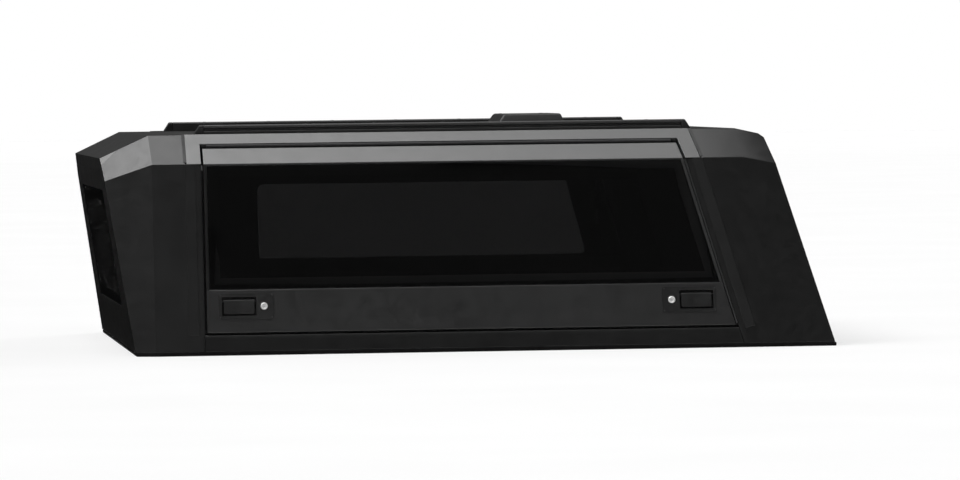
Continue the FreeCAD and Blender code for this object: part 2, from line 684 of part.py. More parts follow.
def make_base():
    """The base seal under the walls and the base rails that take the clamps."""
    inner = "seal_width"
    turn = "facet_start * tan(facet_turn)"
    seal = prism("base_seal", "plan", [
        ("x_end", "-base_half"), ("x_foot + facet_start", "-base_half"), ("x_foot", f"-base_half + {turn}"),
        ("x_foot", f"base_half - {turn}"), ("x_foot + facet_start", "base_half"), ("x_end", "base_half"),
        ("x_end", f"base_half - {inner}"), (f"x_foot + facet_start + {inner}", f"base_half - {inner}"),
        (f"x_foot + {inner}", f"base_half - {turn} - {inner}"),
        (f"x_foot + {inner}", f"-base_half + {turn} + {inner}"),
        (f"x_foot + facet_start + {inner}", f"-base_half + {inner}"), ("x_end", f"-base_half + {inner}"),
    ], "0", "seal_height")
    node("base_seal", seal)

    def wall_y(height):
        return f"-(base_half - wall_in - ({height}) * tan(side_lean))"

    low, top, lip = "seal_height", "seal_height + sole_depth", "seal_height + sole_lip"
    edge = f"{wall_y(low)} + sole_width"
    rail = doc.addObject("PartDesign::Body", "base_rail")
    section = body_sketch(rail, "base_rail_section", "YZ_Plane", "x_sole")
    draw_outline(section, [
        (wall_y(low), low), (edge, low), (edge, lip), (f"{edge} - sole_depth", lip),
        (f"{edge} - sole_depth", top), (wall_y(top), top)])
    add_feature(rail, "Pad", "base_rail_pad", section, "x_sole_end - x_sole")
    mark = body_sketch(rail, "clamp_hole_mark", "XY_Plane", top)
    draw_circle(mark, "x_foot + clamp_hole_start", "-y_clamp", "clamp_hole_size / 2")
    hole = add_feature(rail, "Pocket", "clamp_hole", mark, "2 * sole_depth")
    row = rail.newObject("PartDesign::LinearPattern", "clamp_holes")
    row.Originals = [hole]
    row.Direction = (mark, ["H_Axis"])
    bind(row, Length="clamp_hole_run", Occurrences="clamp_hole_count")
    rail.Tip = row
    node("base_rails", fuse("base_rails", rail, mirrored("right_base_rail", rail)))


def rail_section(body, name, start, slotted):
    """Sketch the left roof rail's section, with or without the slot in its outer side."""
    section = body_sketch(body, name, "YZ_Plane", start)
    middle = "roof_height + rail_height / 2"
    corners = [
        ("-rail_outer", "roof_height"), ("-rail_inner", "roof_height"),
        ("-rail_inner", "rail_top - rail_chamfer"), ("-rail_inner - rail_chamfer", "rail_top"),
        ("-rail_outer + rail_chamfer", "rail_top"), ("-rail_outer", "rail_top - rail_chamfer")]
    if slotted:
        upper, lower, deep = f"{middle} + rail_slot / 2", f"{middle} - rail_slot / 2", "-rail_outer + rail_slot"
        corners += [("-rail_outer", upper), (deep, upper), (deep, lower), ("-rail_outer", lower)]
    draw_outline(section, corners)
    return section


def make_roof_pieces():
    """Roof rails with their end caps, and the roof vent."""
    rail = doc.addObject("PartDesign::Body", "roof_rail")
    section = rail_section(rail, "rail_section", "x_rail + rail_cap", True)
    add_feature(rail, "Pad", "rail_pad", section, "rail_length - 2 * rail_cap")
    pair("roof_rail", rail)
    bar = doc.addObject("PartDesign::Body", "rail_cap_bar")
    section = rail_section(bar, "rail_cap_section", "x_rail", False)
    add_feature(bar, "Pad", "rail_cap_pad", section, "rail_length")
    low, high = "roof_height", "rail_top"
    ends = prism("rail_cap_ends", "side", [
        ("x_rail", low), ("x_rail_end", low), ("x_rail_end - rail_end_run", high),
        ("x_rail + rail_end_run", high)], "-rail_outer", "-rail_inner")
    middle = box_zone(
        "rail_middle", "x_rail + rail_cap", "x_rail_end - rail_cap", "0", f"{FAR}")
    caps = cut("left_caps", common("rail_cap_pair", bar, ends), middle)
    node("rail_end_caps", fuse("rail_end_caps", caps, mirrored("right_caps", caps)))

    top, curb = "roof_height + vent_height", "roof_height + vent_curb"
    foot = box_zone(
        "vent_foot", "x_vent + vent_curb_inset", "x_vent + vent_length - vent_curb_inset",
        "roof_height", curb, "-vent_width / 2 + vent_curb_inset", "vent_width / 2 - vent_curb_inset")
    along = prism("vent_hood_side", "side", [
        ("x_vent", curb), ("x_vent + vent_length", curb), ("x_vent + vent_length - vent_tail_slope", top),
        ("x_vent + vent_slope", top)], "-vent_width / 2", "vent_width / 2")
    across = prism("vent_hood_end", "end", [
        ("-vent_width / 2", curb), ("vent_width / 2", curb), ("vent_width / 2 - vent_side_slope", top),
        ("-vent_width / 2 + vent_side_slope", top)], "x_vent", "x_vent + vent_length")
    node("roof_vent", fuse("roof_vent", foot, common("vent_hood", along, across)))


# The latch is drawn flat: x along the door, y up it and z outwards from its skin.
def draw_box(sketch, centre, half, high):
    """Draw a rectangle around a place on the sketch's x axis."""
    left, right = f"({centre}) - ({half})", f"({centre}) + ({half})"
    draw_outline(sketch, [(left, f"-({high})"), (right, f"-({high})"), (right, high), (left, high)])


def make_escutcheon(name, centre, key_x):
    """The plate with its tray, the paddle's recess and pin, and the hole for the key barrel."""
    body = doc.addObject("PartDesign::Body", f"{name}_bezel")
    half, high = "latch_length / 2", "latch_width / 2"
    plate = body_sketch(body, f"{name}_plate", "XY_Plane")
    draw_box(plate, "0", half, high)
    add_feature(body, "Pad", f"{name}_plate_pad", plate, "latch_rim")
    round_edges(body, f"{name}_plate_corners", "latch_corner", upright_at(size(half), size(high)))
    tray = body_sketch(body, f"{name}_tray", "XY_Plane")
    draw_box(tray, "0", f"{half} - latch_margin", f"{high} - latch_margin")
    add_feature(body, "Pad", f"{name}_tray_pad", tray, "latch_depth", True)
    reach, rise = "paddle_length / 2 + paddle_gap", "paddle_width / 2 + paddle_gap"
    recess = body_sketch(body, f"{name}_recess", "XY_Plane", "latch_rim")
    draw_box(recess, centre, reach, rise)
    add_feature(body, "Pocket", f"{name}_recess_pocket", recess, "latch_rim + latch_depth - latch_floor")
    middle = size(centre)

    def in_recess(edge):
        first, last = edge.Vertexes[0].Point, edge.Vertexes[-1].Point
        level = abs(first.x - last.x) < SMALL and abs(first.y - last.y) < SMALL
        return (level and abs(abs(first.x - middle) - size(reach)) < SMALL
                and abs(abs(first.y) - size(rise)) < SMALL)

    round_edges(body, f"{name}_recess_corners", "recess_corner", in_recess)
    hole = body_sketch(body, f"{name}_key_hole", "XY_Plane", "latch_rim")
    draw_circle(hole, key_x, "0", "key_size / 2 + key_fit")
    add_feature(body, "Pocket", f"{name}_key_pocket", hole, "latch_rim + latch_depth - latch_floor")
    pin = body_sketch(body, f"{name}_pin", "YZ_Plane", f"{centre} - ({reach})")
    draw_circle(pin, "paddle_width / 2 - paddle_barrel", "-paddle_barrel", "paddle_pin")
    add_feature(body, "Pad", f"{name}_pin_pad", pin, f"2 * ({reach})")
    return body


def make_key_barrel(name, key_x):
    """The key barrel, turned about its axis, with its keyway."""
    body = doc.addObject("PartDesign::Body", f"{name}_key")
    section = body_sketch(body, f"{name}_key_section", "XZ_Plane")
    radius, back = "key_size / 2", "latch_floor - latch_depth"
    draw_outline(section, [
        ("0", back), (radius, back), (radius, "key_rise - key_bevel"), (f"{radius} - key_bevel", "key_rise"),
        ("0", "key_rise")])
    turned = body.newObject("PartDesign::Revolution", f"{name}_key_turned")
    turned.Profile = section
    turned.ReferenceAxis = (section, ["V_Axis"])
    turned.Angle = 360
    way = body_sketch(body, f"{name}_keyway", "XY_Plane", "key_rise")
    draw_box(way, "0", "keyway_width / 2", "keyway_length / 2")
    add_feature(body, "Pocket", f"{name}_keyway_pocket", way, "keyway_depth")
    body.setExpression("Placement.Base.x", cells(key_x))
    return body


def make_paddle(name, centre):
    """The paddle with its barrel, drawn flat."""
    body = doc.addObject("PartDesign::Body", f"{name}_paddle")
    axis_y, axis_z, foot = "paddle_width / 2 - paddle_barrel", "-paddle_barrel", "-paddle_width / 2"
    start, end = f"{centre} - paddle_length / 2", f"{centre} + paddle_length / 2"
    blade = body_sketch(body, f"{name}_blade", "XY_Plane")
    draw_outline(blade, [(start, foot), (end, foot), (end, axis_y), (start, axis_y)])
    add_feature(body, "Pad", f"{name}_blade_pad", blade, "paddle_depth", True)
    low, middle, half = size(foot), size(centre), size("paddle_length / 2")

    def at_foot(edge):
        first, last = edge.Vertexes[0].Point, edge.Vertexes[-1].Point
        return (abs(first.x - last.x) < SMALL and abs(first.y - low) + abs(last.y - low) < SMALL
                and abs(abs(first.x - middle) - half) < SMALL)

    round_edges(body, f"{name}_blade_corners", "paddle_corner", at_foot)
    knuckle = body_sketch(body, f"{name}_knuckle", "YZ_Plane", start)
    draw_circle(knuckle, axis_y, axis_z, "paddle_barrel")
    add_feature(body, "Pad", f"{name}_knuckle_pad", knuckle, "paddle_length")
    bore = body_sketch(body, f"{name}_bore", "YZ_Plane", end)
    draw_circle(bore, axis_y, axis_z, "paddle_pin + pin_play")
    add_feature(body, "Pocket", f"{name}_bore_pocket", bore, "paddle_length")
    return body


def latch_pieces(name, key_side):
    """Escutcheon, key barrel and paddle, drawn flat around the latch's middle, and the tray's outside."""
    centre, key_x = f"{-key_side} * paddle_offset", f"{key_side} * key_offset"
    tray = doc.addObject("Part::Box", f"{name}_tray_block")
    half, high = "latch_length / 2 - latch_margin", "latch_width / 2 - latch_margin"
    bind(tray, Length=f"2 * ({half})", Width=f"2 * ({high})", Height="latch_depth",
         Placement__Base__x=f"-({half})", Placement__Base__y=f"-({high})", Placement__Base__z="-latch_depth")
    return {
        "bezel": make_escutcheon(name, centre, key_x), "key": make_key_barrel(name, key_x),
        "paddle": make_paddle(name, centre), "tray": tray}


def placed(name, item, place):
    """Carry a flat piece to its place on a door."""
    return feature(name, item.Shape.copy(), place)


def make_latches():
    """All latches, and the solids cut from the doors for their trays."""
    flat = {"front": latch_pieces("flat_front", 1), "rear": latch_pieces("flat_rear", -1)}
    doc.recompute()
    height = size("latch_height")
    wall_y = -size("base_half - latch_height * tan(side_lean)")
    turn = Rotation(Vector(1, 0, 0), 90 - size("side_lean"))
    trays, bezels, keys = [], [], []
    for end, x in (("front", size("x_door + latch_inset")),
                   ("rear", size(rake_at("latch_height", "-latch_inset")))):
        place = Placement(Vector(x, wall_y, height), turn)
        carried = {kind: placed(f"{end}_{kind}_placed", item, place) for kind, item in flat[end].items()}
        trays.append(carried["tray"])
        bezels.append(carried["bezel"])
        keys.append(carried["key"])
        pair(f"{end}_paddle", carried["paddle"])
    pair("latch_bezels", fuse("latch_bezels", *bezels))
    pair("key_barrels", fuse("key_barrels", *keys))

    rear = latch_pieces("flat_tail", 1)
    doc.recompute()
    tail_z = size("(rear_door_bottom + rear_glass_bottom) / 2")
    tail_x = size("x_end") - tail_z * math.tan(math.radians(size("rear_rake")))
    lean = math.radians(size("rear_rake"))
    up = Vector(-math.sin(lean), 0, math.cos(lean))
    out = Vector(math.cos(lean), 0, math.sin(lean))
    place = Placement(Vector(tail_x, 0, tail_z), Rotation(up.cross(out), up, out, "ZXY"))
    carried = {kind: placed(f"tail_{kind}_placed", item, place) for kind, item in rear.items()}
    node("rear_latch_bezel", carried["bezel"])
    node("rear_key_barrel", carried["key"])
    node("rear_paddle", carried["paddle"])
    return trays, [carried["tray"]]


def hinge_pieces(start, length):
    """The fixed and the moving half of a long hinge along X at the origin, with outwards as -Y."""
    count = int(size("knuckles"))
    pitch = size(length) / count
    gap, radius = size("knuckle_gap"), size("barrel_radius")
    pin, play = size("pin_radius"), size("pin_play")
    leaf, wide, hinge_gap = size("leaf_depth"), size("leaf_width"), size("hinge_gap")
    root = radius + gap
    first, total, run = size(start) + gap / 2, size(length) - gap, pitch - gap
    along = Vector(1, 0, 0)
    halves = []
    for side, level in ((0, hinge_gap - leaf), (1, -hinge_gap)):
        plate = Part.makeBox(total, wide, leaf, Vector(first, root, level))
        knuckles = []
        for index in range(side, count, 2):
            x = first + index * pitch
            knuckles += [
                Part.makeCylinder(radius, run, Vector(x, 0, 0), along),
                Part.makeBox(run, root, leaf, Vector(x, 0, level))]
        halves.append(plate.fuse(knuckles))
    fixed, moving = halves
    fixed = fixed.fuse(Part.makeCylinder(pin, total, Vector(first, 0, 0), along))
    moving = moving.cut(Part.makeCylinder(pin + play, total + 2 * gap, Vector(first - gap, 0, 0), along))
    return fixed.removeSplitter(), moving.removeSplitter()


def make_hinges():
    """The long hinges of the three doors."""
    fixed, moving = hinge_pieces("x_door + hinge_end", "door_length - 2 * hinge_end")
    place = Placement(Vector(0, -size("y_hinge"), size("door_top")), Rotation())
    side_leaf = feature("side_fixed_leaf", fixed, place)
    pair("door_hinge_leaf", feature("door_hinge_leaf", moving, place))
    half = "(core_roof - door_gap - hinge_end)"
    fixed, moving = hinge_pieces(f"-{half}", f"2 * {half}")
    place = Placement(Vector(size("x_hinge"), 0, size("rear_door_top")), Rotation(Vector(0, 0, 1), 90))
    rear_leaf = feature("rear_fixed_leaf", fixed, place)
    node("rear_door_hinge_leaf", feature("rear_door_hinge_leaf", moving, place))
    node("fixed_hinge_leaves", fuse(
        "fixed_hinge_leaves", side_leaf, mirrored("right_fixed_leaf", side_leaf), rear_leaf))


def strut_points(skin_at, lean):
    """The strut's fixed and moving pivots around a hinge line: x along it, -y outwards, z up."""
    down = size("strut_door_down")
    inner = skin_at(down) - size("wall") / math.cos(lean)
    root = Vector(0, size("strut_root_in"), -size("strut_root_down"))
    return root, Vector(0, size("strut_stand_off") - inner, -down)


def strut_pieces(root, door, hang_top):
    """A strut's tube, rod, fixed bracket and door stud, drawn at a hinge line in the plane x = 0."""
    aim = (door - root).normalize()
    span = (door - root).Length
    eye, wide = size("eye_radius"), size("eye_length")
    stud, play = size("stud_radius"), size("pin_play")
    plate, gap = size("bracket_depth"), size("pivot_clearance")
    side = Vector(1, 0, 0)
    start, face = side * (-wide / 2), side * (wide / 2 + gap)

    tube = Part.makeCylinder(size("tube_radius"), span - size("tube_end") - eye / 2, root + aim * eye / 2, aim)
    tube = tube.fuse(Part.makeCylinder(eye, wide, root + start, side))
    tube = tube.common(Part.makeBox(wide, 2 * span, 2 * span, Vector(-wide / 2, -span, -span - eye)).fuse(
        Part.makeCylinder(size("tube_radius"), span, root + aim * size("tube_neck"), aim)))
    tube = tube.cut(Part.makeCylinder(stud + play, 2 * wide, root + start * 2, side))
    tube = tube.cut(Part.makeCylinder(
        size("rod_radius + rod_play"), span, root + aim * size("bore_start"), aim))

    start_gap = size("rod_start")
    slider = Part.makeCylinder(size("rod_radius"), span - start_gap, root + aim * start_gap, aim)
    slider = slider.fuse(Part.makeCylinder(eye, wide, door + start, side))

    strap = size("hanger_width")
    hanger = Part.makeBox(plate, strap, hang_top - root.z, root + face - Vector(0, strap / 2, 0))
    hanger = hanger.fuse([
        Part.makeCylinder(eye, plate, root + face, side),
        Part.makeCylinder(stud, wide + 2 * gap + plate, root + start - side * gap, side)])

    depth = size("strut_stand_off")
    foot = Part.makeBox(plate, depth, 2 * eye, door + face - Vector(0, depth, eye))
    foot = foot.fuse(Part.makeCylinder(eye, plate, door + face, side))
    return [piece.removeSplitter() for piece in (tube, slider, hanger, foot)]


def repeat_along(piece, places):
    """Copy a piece to each of the places along X."""
    return Part.makeCompound([piece.translated(Vector(x, 0, 0)) for x in places])


def make_struts(inner):
    """Two gas struts for each door, each on a fixed bracket and a stud on the door."""
    lean = math.radians(size("side_lean"))
    belt_drop, belt_out = size("door_top - belt_height"), size("belt_half - y_hinge")
    root, door = strut_points(lambda down: belt_out + (down - belt_drop) * math.tan(lean), lean)
    pieces = strut_pieces(root, door, size("hinge_gap"))
    place = Placement(Vector(0, -size("y_hinge"), size("door_top")), Rotation())
    ends = [size("x_door + strut_front"), size("x_door_top - strut_rear")]
    kinds = ("strut_tubes", "strut_rods", "strut_brackets", "strut_studs")
    side = {
        kind: feature(f"side_{kind}", repeat_along(piece, ends), place) for kind, piece in zip(kinds, pieces)}
    for kind in ("strut_tubes", "strut_rods", "strut_studs"):
        pair(kind, side[kind])

    rake = math.radians(size("rear_rake"))
    root, door = strut_points(lambda down: size("hinge_inset") + down * math.tan(rake), rake)
    pieces = strut_pieces(root, door, size("rear_height - rear_door_top"))
    place = Placement(Vector(size("x_hinge"), 0, size("rear_door_top")), Rotation(Vector(0, 0, 1), 90))
    across = size("core_roof - door_gap - rear_strut_inset")
    ends = [-across, across]
    tail = {
        kind: feature(f"tail_{kind}", repeat_along(piece, ends), place) for kind, piece in zip(kinds, pieces)}
    for kind in ("strut_tubes", "strut_rods", "strut_studs"):
        node(f"rear_{kind}", tail[kind])
    brackets = side["strut_brackets"]
    hangers = common("rear_brackets", tail["strut_brackets"], inner)
    node("strut_brackets", fuse("strut_brackets", brackets, mirrored("mirrored_brackets", brackets), hangers))


def make_all():
    """Build every piece."""
    outer, inner, glazed, shell = make_shell()
    core = core_zone("core")
    side_trays, rear_tray = make_latches()
    skin = make_sides(shell, inner, glazed, core)
    make_side_door(skin, outer, glazed, side_trays)
    make_middle(shell, core, outer, glazed, rear_tray)
    make_base()
    make_roof_pieces()
    make_hinges()
    make_flanges(inner)
    make_struts(inner)


def write_pieces():
    """Check every object and write each piece to its own file."""
    doc.recompute()
    for item in doc.Objects:
        if "Invalid" in item.State or "Error" in item.State:
            raise RuntimeError(f"{item.Label}: {item.State}")
    os.makedirs("parts", exist_ok=True)
    for item in NODES:
        shape = item.Shape
        if shape.isNull() or not shape.isValid() or not shape.Solids:
            raise RuntimeError(f"{item.Label}: bad shape")
        shape.exportStep(f"parts/{item.Label}.step")
        print(f"{item.Label}: {len(shape.Solids)} solids, {shape.Volume / 1e6:.3f} litres")


make_all()
write_pieces()
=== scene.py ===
import json
import logging
import math
from dataclasses import dataclass, field
from enum import Enum
from itertools import product

import bmesh
import bpy
from mathutils import Matrix, Vector

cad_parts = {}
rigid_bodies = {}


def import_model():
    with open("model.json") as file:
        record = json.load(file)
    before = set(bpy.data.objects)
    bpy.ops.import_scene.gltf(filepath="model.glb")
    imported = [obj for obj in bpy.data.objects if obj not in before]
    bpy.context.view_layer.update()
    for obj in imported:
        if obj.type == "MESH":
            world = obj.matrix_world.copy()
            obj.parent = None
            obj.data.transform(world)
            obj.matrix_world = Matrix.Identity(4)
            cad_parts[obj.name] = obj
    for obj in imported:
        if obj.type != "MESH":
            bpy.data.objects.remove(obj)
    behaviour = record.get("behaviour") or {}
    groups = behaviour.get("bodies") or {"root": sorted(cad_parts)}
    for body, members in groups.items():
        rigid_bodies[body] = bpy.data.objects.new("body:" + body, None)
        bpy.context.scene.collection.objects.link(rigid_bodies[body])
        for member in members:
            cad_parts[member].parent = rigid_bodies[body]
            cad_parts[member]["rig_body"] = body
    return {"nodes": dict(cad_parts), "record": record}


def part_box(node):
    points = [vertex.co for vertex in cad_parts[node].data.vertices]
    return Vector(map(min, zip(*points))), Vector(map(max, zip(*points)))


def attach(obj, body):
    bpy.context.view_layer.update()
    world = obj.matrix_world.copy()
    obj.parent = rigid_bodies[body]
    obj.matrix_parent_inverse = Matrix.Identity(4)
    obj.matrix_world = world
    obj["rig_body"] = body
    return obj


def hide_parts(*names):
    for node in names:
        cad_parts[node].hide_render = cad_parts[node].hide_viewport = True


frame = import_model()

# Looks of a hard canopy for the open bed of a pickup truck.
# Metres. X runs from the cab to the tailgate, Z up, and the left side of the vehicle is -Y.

log = logging.getLogger("canopy")
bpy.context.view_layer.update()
JOINTS = {joint["name"]: joint for joint in frame["record"]["behaviour"]["joints"]}
DOORS = ("left", "right", "rear")

# Short names of types
Pair = tuple[float, float]
Points = list[Pair]
Triple = tuple[float, float, float]
Socket = bpy.types.NodeSocket
Shape = bmesh.types.BMesh


class Slot(Enum):
    """The record's material slots."""

    PAINT = "body_paint"
    GLASS = "tinted_glass"
    RUBBER = "seal_rubber"
    FRAME = "frame_steel"
    RAIL = "rail_coat"
    CAP = "cap_plastic"
    LAMP = "lamp_red"
    HINGE = "hinge_steel"
    LATCH = "latch_black"
    KEY = "key_metal"
    TUBE = "tube_black"
    ROD = "rod_chrome"


class Side(Enum):
    """A side of the vehicle, with its sign along Y."""

    LEFT = -1
    RIGHT = 1

    @property
    def word(self) -> str:
        """The side's name as the CAD nodes and bodies have it."""
        return self.name.lower()

    def own(self, part: str) -> str:
        """The name of this side's node, piece or body of a kind."""
        return f"{self.word}_{part}"


# Materials


class Recipe:
    """A material's node tree around one Principled shader."""

    def __init__(self, name: str) -> None:
        """Start an empty material.

        Args:
            name: the material's name.
        """
        self.material = bpy.data.materials.new(name)
        self.material.use_nodes = True
        self.tree = self.material.node_tree
        self.tree.nodes.clear()
        self.shader = self.add("ShaderNodeBsdfPrincipled")
        self.output = self.add("ShaderNodeOutputMaterial")
        self.join(self.shader.outputs["BSDF"], self.output.inputs["Surface"])
        self.place = self.add("ShaderNodeTexCoord").outputs["Object"]

    def add(self, kind: str, **settings: object) -> bpy.types.Node:
        """Add a node.

        Args:
            kind: the node's type.
            settings: attributes to set on it.

        Returns:
            The new node.
        """
        node = self.tree.nodes.new(kind)
        for name, value in settings.items():
            setattr(node, name, value)
        return node

    def join(self, source: Socket, target: Socket) -> None:
        """Link one socket to another."""
        self.tree.links.new(source, target)

    def set(self, **values: object) -> None:
        """Set plain values on the shader's own sockets, with underscores for spaces."""
        for name, value in values.items():
            self.shader.inputs[name.replace("_", " ")].default_value = value

    def noise(self, scale: float, detail: float = 2.0, rough: float = 0.5,
              stretch: Triple = (1, 1, 1)) -> Socket:
        """A noise that is fixed to the object.

        Args:
            scale: cells to the metre.
            detail: octaves.
            rough: weight of the finer octaves.
            stretch: scale along each axis, for grain that runs one way.

        Returns:
            The noise's value, around 0.5.
        """
        at = self.place
        if stretch != (1, 1, 1):
            mapping = self.add("ShaderNodeMapping")
            mapping.inputs["Scale"].default_value = stretch
            self.join(at, mapping.inputs["Vector"])
            at = mapping.outputs["Vector"]
        node = self.add("ShaderNodeTexNoise")
        node.inputs["Scale"].default_value = scale
        node.inputs["Detail"].default_value = detail
        node.inputs["Roughness"].default_value = rough
        self.join(at, node.inputs["Vector"])
        return node.outputs["Fac"]

    def spread(self, value: Socket, low: float, high: float,
               start: float = 0.3, stop: float = 0.7) -> Socket:
        """Map a value to a range.

        Args:
            value: the value.
            low: what start becomes.
            high: what stop becomes.
            start: the lowest value.
            stop: the highest value.

        Returns:
            The mapped value.
        """
        node = self.add("ShaderNodeMapRange")
        for name, number in (("From Min", start), ("From Max", stop), ("To Min", low), ("To Max", high)):
            node.inputs[name].default_value = number
        self.join(value, node.inputs["Value"])
        return node.outputs["Result"]

    def tint(self, value: Socket, dark: Triple, light: Triple,
             start: float = 0.35, stop: float = 0.65) -> Socket:
        """Turn a value into a colour between two.

        Args:
            value: the value.
            dark: the colour at start and below.
            light: the colour at stop and above.
            start: where the change begins.
            stop: where it ends.

        Returns:
            The colour.
        """
        node = self.add("ShaderNodeValToRGB")
        first, last = node.color_ramp.elements
        first.position, last.position = start, stop
        first.color, last.color = (*dark, 1), (*light, 1)
        self.join(value, node.inputs["Fac"])
        return node.outputs["Color"]

    def grey(self, value: Socket, dark: float, light: float) -> Socket:
        """Turn a value into a neutral grey between two tones.

        Args:
            value: the value.
            dark: the dark tone.
            light: the light tone.

        Returns:
            The colour.
        """
        return self.tint(value, (dark, dark, dark), (light, light, light))

    def bump(self, value: Socket, depth: float, strength: float = 1.0) -> None:
        """Raise the surface by a value, over any bump already there.

        Args:
            value: the value.
            depth: the height at a value of 1, in metres.
            strength: how much of it shows.
        """
        node = self.add("ShaderNodeBump")
        node.inputs["Distance"].default_value = depth
        node.inputs["Strength"].default_value = strength
        self.join(value, node.inputs["Height"])
        target = self.shader.inputs["Normal"]
        if target.is_linked:
            self.join(target.links[0].from_socket, node.inputs["Normal"])
        self.join(node.outputs["Normal"], target)


@dataclass(frozen=True)
class Finish:
    """A finish: its slot in the record and its material's name."""

    name: str
    slot: Slot

    def recipe(self) -> Recipe:
        """Write the finish's nodes, in each kind of finish.

        Returns:
            The recipe.
        """
        raise NotImplementedError

    def material(self) -> bpy.types.Material:
        """The finish's material, made at its first use."""
        return bpy.data.materials.get(self.name) or self.recipe().material


@dataclass(frozen=True)
class TexturedPaint(Finish):
    """Sprayed or powdered black paint with a fine grain, slightly uneven in tone."""

    dark: float = 0.0088
    light: float = 0.0123
    rough: float = 0.32
    grain: float = 620.0
    grain_depth: float = 0.0002
    specular: float = 0.72

    def recipe(self) -> Recipe:
        """Fine grain in the bump, broad patches in the tone and the gloss.

        Returns:
            The recipe.
        """
        r = Recipe(self.name)
        patches = r.noise(7, 3, 0.55)
        r.join(r.grey(patches, self.dark, self.light), r.shader.inputs["Base Color"])
        wipe = r.noise(38, 4, 0.6)
        r.join(r.spread(wipe, self.rough - 0.04, self.rough + 0.05), r.shader.inputs["Roughness"])
        r.bump(r.noise(9, 2, 0.5), 0.0004, 0.3)
        r.bump(r.noise(self.grain, 2, 0.55), self.grain_depth, 0.3)
        r.set(IOR=1.5, Specular_IOR_Level=self.specular)
        return r


@dataclass(frozen=True)
class TintedGlass(Finish):
    """Dark tinted safety glass with a trace of dust."""

    tone: float = 0.0798
    sheen: float = 0.6

    def recipe(self) -> Recipe:
        """Clear tinted body, with the dust in its roughness and a faint waviness.

        Returns:
            The recipe.
        """
        r = Recipe(self.name)
        r.set(Base_Color=(*[self.tone] * 3, 1), Specular_Tint=(*[self.sheen] * 3, 1),
              Transmission_Weight=1.0, IOR=1.5)
        dust = r.noise(23, 4, 0.6)
        r.join(r.spread(dust, 0.012, 0.035), r.shader.inputs["Roughness"])
        r.bump(r.noise(2.2, 1, 0.4), 0.0007, 0.25)
        return r


@dataclass(frozen=True)
class Moulded(Finish):
    """Moulded rubber or plastic with a fine pitted skin."""

    dark: float = 0.012
    light: float = 0.022
    rough: float = 0.6
    pits: float = 900.0
    pit_depth: float = 0.00018
    specular: float = 0.5

    def recipe(self) -> Recipe:
        """Pits in the bump and greyer wear where the noise is high.

        Returns:
            The recipe.
        """
        r = Recipe(self.name)
        r.join(r.grey(r.noise(14, 4, 0.6), self.dark, self.light), r.shader.inputs["Base Color"])
        wear = r.noise(60, 3, 0.5)
        r.join(r.spread(wear, self.rough - 0.07, self.rough + 0.07), r.shader.inputs["Roughness"])
        r.bump(r.noise(self.pits, 2, 0.5), self.pit_depth, 0.4)
        r.set(IOR=1.5, Specular_IOR_Level=self.specular)
        return r


@dataclass(frozen=True)
class Metal(Finish):
    """Bare or plated metal with drawn lines along one axis."""

    dark: Triple = (0.42, 0.42, 0.41)
    light: Triple = (0.6, 0.6, 0.59)
    rough: float = 0.3
    stretch: Triple = (1, 30, 30)
    metallic: float = 1.0

    def recipe(self) -> Recipe:
        """Drawn lines in tone, gloss and bump.

        Returns:
            The recipe.
        """
        r = Recipe(self.name)
        lines = r.noise(40, 3, 0.6, self.stretch)
        r.join(r.tint(lines, self.dark, self.light, 0.3, 0.7), r.shader.inputs["Base Color"])
        r.join(r.spread(lines, self.rough - 0.06, self.rough + 0.1), r.shader.inputs["Roughness"])
        r.bump(lines, 0.00005, 0.3)
        r.set(Metallic=self.metallic)
        return r


@dataclass(frozen=True)
class LampLens(Finish):
    """Red lens with moulded ribs."""

    def recipe(self) -> Recipe:
        """Ribs across the lamp and a deep red that varies slightly.

        Returns:
            The recipe.
        """
        r = Recipe(self.name)
        red = r.tint(r.noise(30, 2), (0.28, 0.006, 0.006), (0.42, 0.012, 0.01))
        r.join(red, r.shader.inputs["Base Color"])
        ribs = r.add("ShaderNodeTexWave", wave_type="BANDS", bands_direction="Y", wave_profile="SIN")
        ribs.inputs["Scale"].default_value = 40
        r.join(r.place, ribs.inputs["Vector"])
        r.bump(ribs.outputs["Fac"], 0.0006, 0.6)
        r.set(Roughness=0.12, IOR=1.5, Coat_Weight=0.4, Coat_Roughness=0.05)
        return r


PAINT = TexturedPaint("textured black paint", Slot.PAINT)
# Painted light: a lighter copy of the black paint for the door frames and headers, where the light falls
# brighter.
LIT_DOOR_PAINT = TexturedPaint("door paint", Slot.PAINT, 0.0138, 0.0181, specular=1.0)
# Painted light: a lighter copy of the black paint for the front quarters, which catch more light.
LIT_QUARTER_PAINT = TexturedPaint("front quarter paint", Slot.PAINT, 0.0116, 0.0154, specular=0.54)
# Painted shade: a darker copy of the black paint for the rear quarters and sills, where the panels stand
# darker in the light.
SHADED_TAIL_PAINT = TexturedPaint("stone guard paint", Slot.PAINT, 0.0064, 0.0088, specular=0.54)
# Painted sheen: the raised strips' black paint, given the lighter tone that their crowned faces catch in
# the light.
STRIP_PAINT = TexturedPaint("satin strip paint", Slot.PAINT, 0.0101, 0.0125, 0.34, 620.0, 0.0001, 0.6)
INNER_STEEL = TexturedPaint("painted inner steel", Slot.FRAME, rough=0.5)
RAIL_COAT = TexturedPaint("rail powder coat", Slot.RAIL, 0.0083, 0.0143, 0.5, 800.0, 0.0002)
ENAMEL = TexturedPaint("pane enamel", Slot.PAINT, 0.002, 0.004, 0.5, 300.0, 0.00003, 0.4)
TUBE = TexturedPaint("strut enamel", Slot.TUBE, 0.006, 0.011, 0.25, 300.0, 0.00005)
GLASS = TintedGlass("tinted glass", Slot.GLASS)
